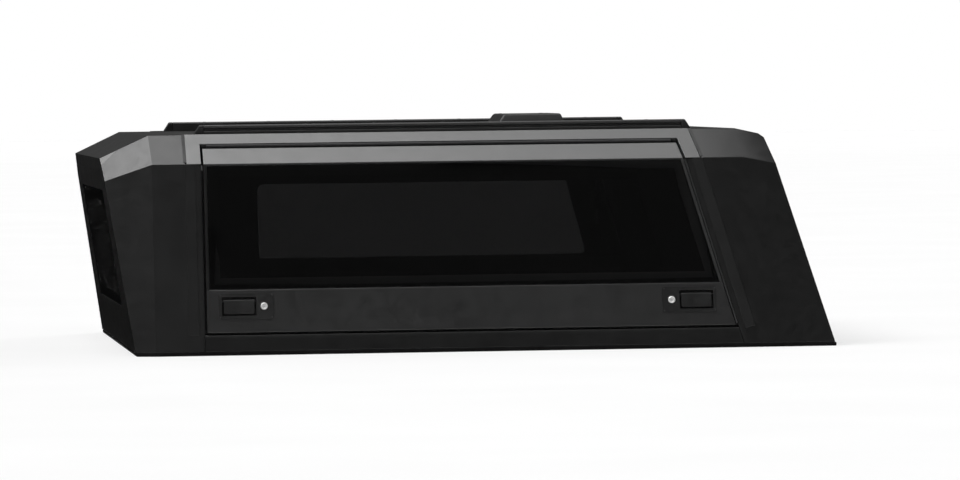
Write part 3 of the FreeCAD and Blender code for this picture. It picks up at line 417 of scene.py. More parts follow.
# Partly painted highlight: real grey rubber, made lighter so the trim and lip along the door's rear edge
# read as the bright line that edge catches.
TRIM = Moulded("edge trim", Slot.RUBBER, 0.020, 0.030, 0.42)
BASE_RUBBER = Moulded("base seal rubber", Slot.RUBBER, 0.003, 0.006, 0.85, specular=0.12)
RUBBER = Moulded("seal rubber", Slot.RUBBER)
GASKET = Moulded("pane gasket", Slot.RUBBER, 0.006, 0.010, 0.55)
CAP = Moulded("cap plastic", Slot.CAP, 0.007, 0.012, 0.5)
LATCH = Moulded("latch plastic", Slot.LATCH, 0.0103, 0.0183, 0.38, 1200.0, 0.0001)
LAMP = LampLens("red lens", Slot.LAMP)
HINGE = Metal(
    "black plated hinge", Slot.HINGE, (0.02, 0.02, 0.021), (0.035, 0.035, 0.036), 0.55, metallic=0.35)
# Painted highlight: the chrome keys and collars get a near-white colour and little metal, so they look
# bright without reflecting a light.
KEY = Metal("bright key metal", Slot.KEY, (0.8, 0.8, 0.79), (0.9, 0.9, 0.89), 0.3, (1, 1, 1), 0.35)
SCREW = Metal("black zinc screw", Slot.HINGE, (0.05, 0.05, 0.05), (0.08, 0.08, 0.082), 0.35, (1, 1, 1), 0.8)
ROD = Metal("chromed rod", Slot.ROD, (0.68, 0.69, 0.7), (0.82, 0.83, 0.84), 0.12, (30, 30, 1))


# Meshes

# Corners this near are one, in the frame's meshes and in new ones.
CAD_JOIN = 2e-5
JOIN = 1e-6
# Faces that turn by less are one flat face, and edges that turn by more are rounded.
FLAT_TURN = math.radians(0.6)
SHARP_TURN = math.radians(14)
RIM_TURN = math.radians(29)


def rounded(shape: Shape, geom: list, radius: float, segments: int = 2,
            affect: str = "EDGES", slide: bool = False) -> None:
    """Round edges, or the corners of a flat outline.

    Args:
        shape: the mesh.
        geom: the edges or the corners.
        radius: the rounding, in metres.
        segments: steps across it.
        affect: EDGES or VERTICES.
        slide: whether the new corners slide along the edges that meet there.
    """
    bmesh.ops.bevel(
        shape, geom=geom, offset=radius, offset_type="OFFSET", segments=segments, profile=0.5,
        affect=affect, material=-1, clamp_overlap=True, loop_slide=slide)


def round_top(shape: Shape, depth: float, radius: float) -> None:
    """Round the upper edges of a flat solid.

    Args:
        shape: the solid, its foot at z = 0.
        depth: its height.
        radius: the rounding.
    """
    shape.normal_update()
    upper = [e for e in shape.edges
             if all(v.co.z > depth * 0.99 for v in e.verts) and e.calc_face_angle(0) > RIM_TURN]
    rounded(shape, upper, radius)


def thicken(shape: Shape, depth: float) -> None:
    """Raise a flat mesh into a solid.

    Args:
        shape: the mesh, flat at z = 0.
        depth: the solid's height.
    """
    raised = bmesh.ops.extrude_face_region(shape, geom=list(shape.faces))["geom"]
    upper = [v for v in raised if isinstance(v, bmesh.types.BMVert)]
    bmesh.ops.translate(shape, vec=(0, 0, depth), verts=upper)
    bmesh.ops.recalc_face_normals(shape, faces=shape.faces)


def placed(part: Shape, place: Matrix) -> Shape:
    """A part moved to its place.

    Args:
        part: the part, which is moved itself.
        place: where its own origin and axes go.

    Returns:
        The part.
    """
    bmesh.ops.transform(part, matrix=place, verts=part.verts)
    return part


def add_part(shape: Shape, part: Shape) -> None:
    """Add a part to a shape.

    Args:
        shape: the mesh that grows.
        part: the mesh that is added, and freed.
    """
    mesh = bpy.data.meshes.new("part")
    part.to_mesh(mesh)
    part.free()
    shape.from_mesh(mesh)
    bpy.data.meshes.remove(mesh)


def turned(profile: Points, steps: int = 24) -> Shape:
    """Spin a profile about the z axis.

    Args:
        profile: radius and height of each point, from the lowest to the highest on the outside.
        steps: sides of the turned form.

    Returns:
        The turned form.
    """
    shape = bmesh.new()
    points = [shape.verts.new((radius, 0, height)) for radius, height in profile]
    edges = [shape.edges.new(ends) for ends in zip(points, points[1:])]
    bmesh.ops.spin(
        shape, geom=points + edges, cent=(0, 0, 0), axis=(0, 0, 1), dvec=(0, 0, 0), angle=math.tau,
        steps=steps, use_merge=True)
    bmesh.ops.remove_doubles(shape, verts=shape.verts, dist=JOIN)
    bmesh.ops.recalc_face_normals(shape, faces=shape.faces)
    return shape


def plate(length: float, width: float, depth: float, corner: float, bevel: float) -> Shape:
    """A flat plate with rounded corners and a softened upper edge, centred on its lower face.

    Args:
        length: along x.
        width: along y.
        depth: along z.
        corner: rounding of its four corners.
        bevel: rounding of its upper edge.

    Returns:
        The plate.
    """
    shape = bmesh.new()
    size = Matrix.Diagonal((length, width, depth, 1))
    bmesh.ops.create_cube(shape, size=1.0, matrix=Matrix.Translation((0, 0, depth / 2)) @ size)
    upright = [e for e in shape.edges if abs(e.verts[0].co.z - e.verts[1].co.z) > depth / 2]
    rounded(shape, upright, corner, 4)
    round_top(shape, depth, bevel)
    return shape


def rectangle(half: float, low: float, high: float) -> Points:
    """A rectangle about the middle.

    Args:
        half: half its width.
        low: its lower edge.
        high: its upper edge.

    Returns:
        Its corners, anticlockwise from the lower left one.
    """
    return [(-half, low), (half, low), (half, high), (-half, high)]


def ring_strip(outline: Points, inner: float, outer: float, depth: float,
               bevel: float, corner: float = 0.0) -> Shape:
    """A flat strip round an outline.

    Args:
        outline: the outline's corners, anticlockwise.
        inner: the strip's inner edge inside the outline.
        outer: its outer edge outside the outline.
        depth: its thickness, upwards from z = 0.
        bevel: rounding of its upper edges.
        corner: rounding of the outline's corners.

    Returns:
        The strip.
    """
    shape = bmesh.new()
    face = shape.faces.new([shape.verts.new((x, y, 0)) for x, y in outline])
    face.normal_update()
    if corner:
        rounded(shape, list(shape.verts), corner, 4, "VERTICES")
        face = next(iter(shape.faces))
    for thickness, outset in ((outer, True), (inner + outer, False)):
        bmesh.ops.inset_region(shape, faces=[face], thickness=thickness, use_even_offset=True,
                               use_boundary=True, use_outset=outset)
    bmesh.ops.delete(shape, geom=[face], context="FACES")
    bmesh.ops.remove_doubles(shape, verts=shape.verts, dist=JOIN)
    thicken(shape, depth)
    round_top(shape, depth, bevel)
    return shape


def band_between(outer: Points, inner: Points, depth: float,
                 corner: float) -> Shape:
    """A flat band between two outlines of as many corners.

    Args:
        outer: the outer outline's corners, rounded a fifth as much.
        inner: the inner outline's corners.
        depth: the band's thickness, upwards from z = 0.
        corner: rounding of the inner outline's corners.

    Returns:
        The band.
    """
    shape = bmesh.new()
    for outline, rounding in ((outer, corner / 5), (inner, corner)):
        face = shape.faces.new([shape.verts.new((x, y, 0)) for x, y in outline])
        rounded(shape, list(face.verts), rounding, 6, "VERTICES")
    bmesh.ops.delete(shape, geom=list(shape.faces), context="FACES_ONLY")
    bmesh.ops.bridge_loops(shape, edges=list(shape.edges))
    thicken(shape, depth)
    return shape


def tube(points: list[Vector], radius: float, steps: int = 12) -> Shape:
    """A round bar or seal along a line of straight runs, closed at its ends.

    Args:
        points: the corners of the line.
        radius: the bar's radius.
        steps: sides of its section.

    Returns:
        The bar.
    """
    curve = bpy.data.curves.new("line", "CURVE")
    curve.dimensions = "3D"
    curve.bevel_depth = radius
    curve.bevel_resolution = steps // 4
    curve.use_fill_caps = True
    spline = curve.splines.new("POLY")
    spline.points.add(len(points) - 1)
    for target, point in zip(spline.points, points):
        target.co = (*point, 1)
    holder = bpy.data.objects.new("line", curve)
    mesh = bpy.data.meshes.new_from_object(holder)
    shape = bmesh.new()
    shape.from_mesh(mesh)
    bpy.data.objects.remove(holder)
    bpy.data.curves.remove(curve)
    bpy.data.meshes.remove(mesh)
    bmesh.ops.remove_doubles(shape, verts=shape.verts, dist=JOIN)
    bmesh.ops.recalc_face_normals(shape, faces=shape.faces)
    return shape


def handed(shape: Shape, side: Side) -> Shape:
    """A shape made for the left, as it is on a side.

    Args:
        shape: the shape.
        side: the side that it is for.

    Returns:
        The same shape, mirrored where that side is the right.
    """
    if side is Side.RIGHT:
        bmesh.ops.scale(shape, vec=(1, -1, 1), verts=shape.verts)
        bmesh.ops.reverse_faces(shape, faces=shape.faces)
    return shape


# Pieces


def stand(name: str, data: bpy.types.ID) -> bpy.types.Object:
    """Put a new object in the scene.

    Args:
        name: the object's name.
        data: its mesh, lamp or camera.

    Returns:
        The object.
    """
    made = bpy.data.objects.new(name, data)
    bpy.context.scene.collection.objects.link(made)
    return made


def piece(name: str, shape: Shape, finish: Finish, body: str) -> bpy.types.Object:
    """Turn a mesh into a piece that rides on a body, its flat faces shaded evenly beside rounded edges.

    Args:
        name: the piece's name.
        shape: its mesh, which is freed.
        finish: its finish.
        body: the body that carries it.

    Returns:
        The piece.
    """
    mesh = bpy.data.meshes.new(name)
    for face in shape.faces:
        face.smooth = True
    shape.to_mesh(mesh)
    shape.free()
    mesh.materials.append(finish.material())
    made = stand(name, mesh)
    modifier = made.modifiers.new("even shading", "WEIGHTED_NORMAL")
    modifier.weight = 100
    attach(made, body)
    log.info("%s on %s, %d faces", name, body, len(mesh.polygons))
    return made


def dress(node: str, finish: Finish, radius: float, segments: int = 2) -> None:
    """Stand a copy of a CAD node in its place, with flat faces made whole and sharp edges rounded.

    Args:
        node: the CAD node.
        finish: the copy's finish.
        radius: the rounding of its edges, in metres.
        segments: steps across the rounding.
    """
    shape = bmesh.new()
    shape.from_mesh(frame["nodes"][node].data)
    bmesh.ops.remove_doubles(shape, verts=shape.verts, dist=CAD_JOIN)
    bmesh.ops.dissolve_limit(
        shape, angle_limit=FLAT_TURN, use_dissolve_boundaries=False, verts=shape.verts, edges=shape.edges)
    bmesh.ops.connect_verts_concave(shape, faces=shape.faces)
    sharp = [e for e in shape.edges if len(e.link_faces) == 2 and e.calc_face_angle() > SHARP_TURN]
    rounded(shape, sharp, radius, segments, slide=True)
    made = piece(f"{node}_dressed", shape, finish, frame["nodes"][node]["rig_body"])
    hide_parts(node)


def coat(node: str, finish: Finish) -> None:
    """Give a CAD node that stays its finish.

    Args:
        node: the CAD node.
        finish: the finish.
    """
    mesh = frame["nodes"][node].data
    mesh.materials.clear()
    mesh.materials.append(finish.material())


# The shell's sheets


@dataclass(frozen=True)
class Sheet:
    """A flat sheet of the shell: its foot on the floor and the ways along and up it."""

    foot: Vector
    along: Vector
    up: Vector

    @property
    def out(self) -> Vector:
        """The way outwards."""
        return self.along.cross(self.up)

    def spot(self, along: float, height: float, out: float = 0.0) -> Vector:
        """A point of the sheet.

        Args:
            along: distance along it.
            height: height above the floor.
            out: how far it stands off the sheet.

        Returns:
            The point.
        """
        rise = (height - self.out.z * out) / self.up.z
        return self.foot + self.along * along + self.up * rise + self.out * out

    def place(self, along: float, height: float, out: float = 0.0) -> Matrix:
        """As spot, with x along the sheet, y up it and z outwards."""
        turn = Matrix((self.along, self.up, self.out)).transposed().to_4x4()
        return Matrix.Translation(self.spot(along, height, out)) @ turn

    def flat(self, outline: Points) -> Points:
        """An outline of places along and heights, drawn on the sheet from its foot."""
        return [(along, height / self.up.z) for along, height in outline]


@dataclass(frozen=True)
class Outline:
    """The shell's sizes that the added pieces go by."""

    foot: float = -0.86099
    end: float = 0.93901
    base_half: float = 0.85
    side_lean: float = math.radians(10.24)
    rear_rake: float = math.radians(16.6)
    nose_lean: float = math.radians(8.8)
    door_rake: float = math.radians(15.9)
    wall: float = 0.024
    roof: float = 0.561
    door_front: float = -0.67899
    door_top: float = 0.532
    door_top_end: float = 0.54501
    door_bottom: float = 0.058
    glass: Pair = (0.167, 0.483)
    glass_border: float = 0.008
    enamel_inset: float = 0.028
    glass_depth: float = 0.005
    belt: float = 0.487
    roof_half: float = 0.685
    leg: float = 0.037
    seam: float = 0.004
    rear_door_foot: float = 0.012
    rear_glass: Pair = (0.140, 0.460)
    rear_glass_border: float = 0.060
    pillar: float = 0.085
    gap: float = 0.006
    hem: float = 0.015

    def side(self) -> Sheet:
        """The left side wall below the belt."""
        up = Vector((0, math.sin(self.side_lean), math.cos(self.side_lean)))
        return Sheet(Vector((0, -self.base_half, 0)), Vector((1, 0, 0)), up)

    def band(self) -> Sheet:
        """The left upper band, between the belt and the roof.

        Returns:
            The band's sheet, its foot where the band would meet the floor.
        """
        run = self.base_half - self.belt * math.tan(self.side_lean) - self.roof_half
        slope = math.hypot(run, self.roof - self.belt)
        up = Vector((0, run / slope, (self.roof - self.belt) / slope))
        foot = -self.roof_half - self.roof * up.y / up.z
        return Sheet(Vector((0, foot, 0)), Vector((1, 0, 0)), up)

    def tail(self) -> Sheet:
        """The rear face."""
        up = Vector((-math.sin(self.rear_rake), 0, math.cos(self.rear_rake)))
        return Sheet(Vector((self.end, 0, 0)), Vector((0, 1, 0)), up)

    def nose(self) -> Sheet:
        """The front wall."""
        up = Vector((-math.sin(self.nose_lean), 0, math.cos(self.nose_lean)))
        return Sheet(Vector((self.foot, 0, 0)), Vector((0, -1, 0)), up)

    def door_rear(self, height: float) -> float:
        """X of the side door's raked rear edge at a height."""
        return self.door_top_end + (self.door_top - height) * math.tan(self.door_rake)

    def door_lean(self, sheet: Sheet) -> float:
        """How far that edge leans on a sheet."""
        return math.atan(math.tan(self.door_rake) * sheet.up.z)

    def beside_door(self, off: float, height: float, sheet: Sheet) -> Points:
        """Places before and behind a side door.

        Args:
            off: how far they lie outside its edges.
            height: their height.
            sheet: the sheet that they lie on.

        Returns:
            The place along the sheet and the lean of the edge, for the front and for the rear.
        """
        rear = self.door_rear(height) + off / math.cos(self.door_rake)
        return [(self.door_front - off, 0.0), (rear, self.door_lean(sheet))]

    def tail_half(self, height: float) -> float:
        """Half the rear door's width at a height."""
        return self.base_half - self.pillar - self.gap - height * math.tan(self.side_lean)


SHELL = Outline()


@dataclass(frozen=True)
class Strip:
    """The section of a flat strip on a sheet of the shell."""

    depth: float
    corner: float
    bevel: float
    out: float

    def lay(self, sheet: Sheet, at: Pair, size: Pair,
            lean: float = 0.0) -> Shape:
        """Lay a strip of this section.

        Args:
            sheet: the sheet that it lies on.
            at: its middle, along the sheet and in height.
            size: its reach along the sheet and up it.
            lean: its turn on the sheet.

        Returns:
            The strip.
        """
        strip = plate(*size, self.depth, self.corner, self.bevel)
        return placed(strip, sheet.place(*at, self.out) @ Matrix.Rotation(lean, 4, "Z"))


@dataclass(frozen=True)
class PaneTrim:
    """The rubber bead round a pane and the black enamel fired on its inner face."""

    word: str
    sheet: Sheet
    body: str
    side: Side = Side.LEFT
    bead_lap: float = 0.0003
    bead_width: float = 0.0014
    bead_depth: float = 0.0022
    bead_bevel: float = 0.0005
    bead_out: float = -0.0028
    enamel_depth: float = 0.0003
    enamel_corner: float = 0.018
    enamel_play: float = 0.0004

    def bead(self, outline: Points) -> None:
        """Lay the bead in the joint round the pane.

        Args:
            outline: the pane's outline, in places along the sheet and heights.
        """
        ring = ring_strip(
            self.sheet.flat(outline), self.bead_lap, self.bead_width, self.bead_depth, self.bead_bevel)
        ring = placed(ring, self.sheet.place(0, 0, self.bead_out))
        piece(f"{self.word}_bead", handed(ring, self.side), GASKET, self.body)

    def enamel(self, outer: Points, inner: Points) -> None:
        """Lay the enamel band.

        Args:
            outer: the band's outer outline, in places along the sheet and heights.
            inner: its inner outline.
        """
        band = band_between(
            self.sheet.flat(outer), self.sheet.flat(inner), self.enamel_depth, self.enamel_corner)
        band = placed(band, self.sheet.place(0, 0, -SHELL.glass_depth - self.enamel_play))
        piece(f"{self.word}_enamel", handed(band, self.side), ENAMEL, self.body)


# Sub-assemblies


@dataclass
class Shell:
    """Fixed panels, front window, brake light and base."""

    edge: float = 0.0022
    glass_edge: float = 0.0012
    seal_edge: float = 0.003
    rail_edge: float = 0.001
    seam_lap: float = 0.004
    seam_end: float = 0.004
    seam_strip: Strip = Strip(0.0042, 0.0008, 0.0006, -0.0032)
    side_strip: Strip = Strip(0.0022, 0.001, 0.0009, -0.001)
    belt_play: float = 0.001
    enamel_inner: float = 0.052

    def build(self) -> None:
        """Dress the fixed panels."""
        for side in Side:
            # The front quarters and door headers take lighter copies of the black paint and the rear
            # quarters and sills a darker one: painted light and painted shade.
            for part, finish in (("front_quarter", LIT_QUARTER_PAINT), ("rear_quarter", SHADED_TAIL_PAINT),
                                 ("sill", SHADED_TAIL_PAINT), ("door_header", LIT_DOOR_PAINT)):
                dress(side.own(part), finish, self.edge)
            self.seam_seals(side)
            self.opening_strips(side)
        for part in ("front_wall", "roof_panel", "rear_header"):
            dress(part, PAINT, self.edge)
        dress("front_window", GLASS, self.glass_edge)
        dress("brake_light", LAMP, self.glass_edge)
        dress("base_seal", BASE_RUBBER, self.seal_edge, 3)
        dress("base_rails", INNER_STEEL, self.rail_edge)
        self.window_trim()
        self.lamp_surround()

    def seam_seals(self, side: Side) -> None:
        """The rubber strips in the open seams beside the header's legs.

        Args:
            side: the side of the vehicle.
        """
        sheet, width = SHELL.band(), SHELL.seam + self.seam_lap
        middle, rise = (SHELL.roof + SHELL.belt) / 2, (SHELL.roof - SHELL.belt) / sheet.up.z
        shape = bmesh.new()
        for along, lean in SHELL.beside_door(SHELL.gap + SHELL.leg + width / 2, middle, sheet):
            size = (width, rise / math.cos(lean) - self.seam_end)
            add_part(shape, self.seam_strip.lay(sheet, (along, middle), size, lean))
        piece(side.own("seam_seals"), handed(shape, side), RUBBER, "shell")

    def opening_strips(self, side: Side) -> None:
        """The raised strips on the quarters, from the header's legs down to the sill.

        Args:
            side: the side of the vehicle.
        """
        sheet = SHELL.side()
        low, high = SHELL.door_bottom - SHELL.gap, SHELL.belt - self.belt_play
        near, far = SHELL.gap + SHELL.hem, SHELL.gap + SHELL.leg + SHELL.seam
        middle, rise = (low + high) / 2, (high - low) / sheet.up.z
        shape = bmesh.new()
        for along, lean in SHELL.beside_door((near + far) / 2, middle, sheet):
            size = (far - near, rise / math.cos(lean))
            add_part(shape, self.side_strip.lay(sheet, (along, middle), size, lean))
        # The strips' lighter tone is painted sheen.
        piece(side.own("opening_strips"), handed(shape, side), STRIP_PAINT, "shell")

    def window_trim(self) -> None:
        """The bead and the enamel of the front window."""
        low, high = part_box("front_window")
        trim = PaneTrim("front_window", SHELL.nose(), "shell")
        half = (high.y - low.y) / 2
        trim.bead(rectangle(half, low.z, high.z))
        trim.enamel(*(rectangle(half - inset, low.z + inset, high.z - inset)
                      for inset in (SHELL.enamel_inset, self.enamel_inner)))

    def lamp_surround(self) -> None:
        """The black rim round the brake light."""
        low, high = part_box("brake_light")
        sheet = SHELL.tail()
        outline = sheet.flat(rectangle((high.y - low.y) / 2, low.z, high.z))
        rim = ring_strip(outline, inner=0.0012, outer=0.004, depth=0.0018, bevel=0.0007, corner=0.002)
        piece("brake_light_rim", placed(rim, sheet.place(0, 0, -0.0002)), CAP, "shell")


@dataclass
class SideDoor:
    """A gull-wing door with its flush pane."""

    side: Side
    edge: float = 0.0026
    glass_edge: float = 0.0014
    enamel_front: float = 0.128
    enamel_rear: float = 0.132
    enamel_low: float = 0.034
    enamel_top: float = 0.050
    tape: Strip = Strip(0.0009, 0.0003, 0.0003, -0.0005)
    tape_play: float = 0.0012
    tape_lap: float = 0.002
    tape_shift: float = 0.0001

    def pane(self, front: float = 0.0, rear: float = 0.0, bottom: float = 0.0,
             top: float = 0.0) -> Points:
        """Corners of an outline inside the pane, as x and height.

        Args:
            front: how far it lies inside the pane's front edge.
            rear: how far inside its rear edge.
            bottom: how far inside its lower edge.
            top: how far inside its upper edge.

        Returns:
            The corners, anticlockwise from the lower front one.
        """
        low, high = SHELL.glass[0] + bottom, SHELL.glass[1] - top
        start, back = SHELL.door_front + SHELL.glass_border + front, SHELL.glass_border + rear
        return [(start, low), (SHELL.door_rear(low) - back, low), (SHELL.door_rear(high) - back, high),
                (start, high)]

    def pane_trim(self) -> None:
        """The pane's bead and its enamel, wide at both ends where the struts lie."""
        trim = PaneTrim(self.side.own("pane"), SHELL.side(), self.side.own("door"), self.side)
        trim.bead(self.pane())
        trim.enamel(self.pane(*[SHELL.enamel_inset] * 4),
                    self.pane(self.enamel_front, self.enamel_rear, self.enamel_low, self.enamel_top))

    def border_trims(self) -> None:
        """The matt black tape on the frame's narrow front edge and the lighter grey trim on its rear edge,
        whose tone is partly a painted highlight.
        """
        sheet, (low, high) = SHELL.side(), SHELL.glass
        middle, rise = (low + high) / 2, (high - low + self.tape_lap) / sheet.up.z
        width, off = SHELL.glass_border - self.tape_play, SHELL.glass_border / 2 - self.tape_shift
        for name, finish, along, lean in (
                ("blackout_tape", ENAMEL, SHELL.door_front + off, 0.0),
                ("rear_edge_trim", TRIM, SHELL.door_rear(middle) - off, SHELL.door_lean(sheet))):
            size = (width * math.cos(lean), rise / math.cos(lean))
            strip = self.tape.lay(sheet, (along, middle), size, lean)
            piece(self.side.own(name), handed(strip, self.side), finish, self.side.own("door"))

    def build(self) -> None:
        """Dress the frame and the pane."""
        # The frame takes the lighter copy of the black paint: painted light.
        dress(self.side.own("door_frame"), LIT_DOOR_PAINT, self.edge)
        dress(self.side.own("door_glass"), GLASS, self.glass_edge)
        self.pane_trim()
        self.border_trims()


@dataclass
class RearDoor:
    """The lift-up rear door with its flush pane and the rubber sweep on its lower edge."""

    edge: float = 0.0026
    glass_edge: float = 0.0014
    enamel_inner: float = 0.054
    sweep: Strip = Strip(0.008, 0.001, 0.001, -0.014)
    sweep_width: float = 0.009
    sweep_lap: float = 0.0005
    sweep_end: float = 0.006

    def pane(self, inset: float = 0.0) -> Points:
        """Corners of an outline inside the pane, as y and height.

        Args:
            inset: how far it lies inside the pane's edge.

        Returns:
            The corners, anticlockwise from the lower left one.
        """
        low, high = SHELL.rear_glass[0] + inset, SHELL.rear_glass[1] - inset
        border = SHELL.rear_glass_border + inset
        wide, narrow = SHELL.tail_half(low) - border, SHELL.tail_half(high) - border
        return [(-wide, low), (wide, low), (narrow, high), (-narrow, high)]

    def build(self) -> None:
        """Dress the frame and the pane and add the rubber."""
        dress("rear_door_frame", PAINT, self.edge)
        dress("rear_door_glass", GLASS, self.glass_edge)
        trim = PaneTrim("rear_pane", SHELL.tail(), "rear_door")
        trim.bead(self.pane())
        trim.enamel(self.pane(SHELL.enamel_inset), self.pane(self.enamel_inner))
        low = SHELL.rear_door_foot
        at = (0, low - self.sweep_width / 2 + self.sweep_lap)
        size = (2 * (SHELL.tail_half(low) - self.sweep_end), self.sweep_width)
        piece("rear_door_sweep", self.sweep.lay(SHELL.tail(), at, size), RUBBER, "rear_door")


@dataclass
class DoorSeals:
    """Bulb seals on the flanges behind the doors' edges, against which the closed doors rest."""

    flange: float = 0.009
    flange_edge: float = 0.0006
    bulb: float = 0.0032
    carrier: float = 0.62
    carrier_lift: float = 0.0008
    inset: float = 0.010
    top: float = 0.479
    rear_top: float = 0.498
    rear_inset: float = 0.006
    lip: float = 0.0024
    lip_lap: float = 0.0004
    lip_drop: float = 0.0002
    lip_inset: float = 0.003

    def along(self, points: list[Vector], out: Vector) -> Shape:
        """A bulb on a flat carrier along a line.

        Args:
            points: the line's corners, on the flange's face.
            out: the way from the flange to the door.

        Returns:
            The seal.
        """
        shape = bmesh.new()
        for radius, lift in ((self.bulb, self.bulb), (self.bulb * self.carrier, self.carrier_lift)):
            add_part(shape, tube([point + out * lift for point in points], radius))
        return shape

    def edge_lip(self) -> Shape:
        """The lip in the gap along the side door's rear edge.

        Returns:
            The lip of the left door.
        """
        off = (SHELL.gap - self.lip + self.lip_lap) / math.cos(SHELL.door_rake)
        return tube([
            SHELL.side().spot(SHELL.door_rear(height) + off, height, -self.lip - self.lip_drop)
            for height in (SHELL.door_bottom + self.lip_inset, SHELL.belt - self.lip_inset)], self.lip)

    def build(self) -> None:
        """Dress the flanges and line them."""
        dress("door_flanges", INNER_STEEL, self.flange_edge)
        depth = -(SHELL.wall + self.flange)
        sheet, low = SHELL.side(), SHELL.door_bottom + self.inset
        front = SHELL.door_front + self.inset
        line = [sheet.spot(along, height, depth) for along, height in (
            (front, self.top), (front, low), (SHELL.door_rear(low) - self.inset, low),
            (SHELL.door_rear(self.top) - self.inset, self.top))]
        for side in Side:
            piece(side.own("door_seal"), handed(self.along(line, sheet.out), side), RUBBER, "shell")
            # The lips take the lighter trim grey, partly a painted highlight.
            piece(side.own("edge_lip"), handed(self.edge_lip(), side), TRIM, "shell")
        sheet, shape = SHELL.tail(), bmesh.new()
        for side in Side:
            line = [sheet.spot(side.value * (SHELL.tail_half(height) - self.inset), height, depth)
                    for height in (SHELL.rear_door_foot + self.rear_inset, self.rear_top)]
            add_part(shape, self.along(line, sheet.out))
        piece("rear_door_seal", shape, RUBBER, "shell")


@dataclass
class Latches:
    """Flush paddle latches with their key barrels, collars, gaskets and rivets."""

    edge: float = 0.0009
    length: float = 0.140
    width: float = 0.066
    height: float = 0.124
    key_offset: float = 0.046
    rear_height: float = 0.076
    rivet_inset: float = 0.0042

    def collar(self) -> Shape:
        """The domed ring over the key barrel's edge, bright by a painted highlight in its colour.

        Returns:
            The ring, turned about z.
        """
        return turned([
            (0.0050, 0.0023), (0.0051, 0.0034), (0.0058, 0.0041), (0.0070, 0.0042), (0.0081, 0.0037),
            (0.0090, 0.0027), (0.0094, 0.0014)], 32)

    def washer(self) -> Shape:
        """The black rubber ring round the collar.

        Returns:
            The ring, turned about z.
        """
        return turned([
            (0.0093, 0.0013), (0.0097, 0.0024), (0.0108, 0.0027), (0.0120, 0.0022), (0.0123, 0.0013)], 32)

    def rivet(self) -> Shape:
        """A small domed rivet head.

        Returns:
            The head, turned about z.
        """
        return turned([
            (0.0, 0.0019), (0.0007, 0.0020), (0.0009, 0.0027), (0.0016, 0.0025), (0.0021, 0.0019),
            (0.0022, 0.0014)], 14)

    def gasket(self) -> Shape:
        """The thin rubber round the escutcheon."""
        outline = rectangle(self.length / 2, -self.width / 2, self.width / 2)
        return ring_strip(outline, inner=0.0016, outer=0.0011, depth=0.0008, bevel=0.0003, corner=0.006)

    def trim(self, places: list[tuple[Matrix, int]], side: Side, word: str, body: str) -> None:
        """Collars, washers, rivets and gaskets of a door's latches.

        Args:
            places: each latch's middle on the skin, and the way to its key.
            side: the side that they are on.
            word: the start of the pieces' names.
            body: the door's body.
        """
        across, up = self.length / 2 - self.rivet_inset, self.width / 2 - self.rivet_inset
        collars, washers, rivets, gaskets = (bmesh.new() for count in range(4))
        for place, key_side in places:
            key = place @ Matrix.Translation((key_side * self.key_offset, 0, 0))
            add_part(collars, placed(self.collar(), key))
            add_part(washers, placed(self.washer(), key))
            add_part(gaskets, placed(self.gasket(), place))
            for x, y in product((-across, across), (-up, up)):
                add_part(rivets, placed(self.rivet(), place @ Matrix.Translation((x, y, 0))))
        for name, shape, finish in (("key_collars", collars, KEY), ("key_washers", washers, GASKET),
                                    ("latch_rivets", rivets, SCREW), ("latch_gaskets", gaskets, GASKET)):
            piece(f"{word}_{name}", handed(shape, side), finish, body)

    def build(self) -> None:
        """Dress every escutcheon, paddle and key barrel."""
        for side in Side:
            low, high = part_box(side.own("latch_bezels"))
            middles = (low.x + self.length / 2, 1), (high.x - self.length / 2, -1)
            places = [(SHELL.side().place(along, self.height), key_side) for along, key_side in middles]
            self.trim(places, side, side.word, side.own("door"))
            # The key barrels take the key finish with its painted highlight.
            coat(side.own("key_barrels"), KEY)
            for part in ("latch_bezels", "front_paddle", "rear_paddle"):
                dress(side.own(part), LATCH, self.edge)
        self.trim([(SHELL.tail().place(0, self.rear_height), 1)], Side.LEFT, "rear", "rear_door")
        # The rear key barrel takes the key finish with its painted highlight.
        coat("rear_key_barrel", KEY)
        for part in ("rear_latch_bezel", "rear_paddle"):
            dress(part, LATCH, self.edge)


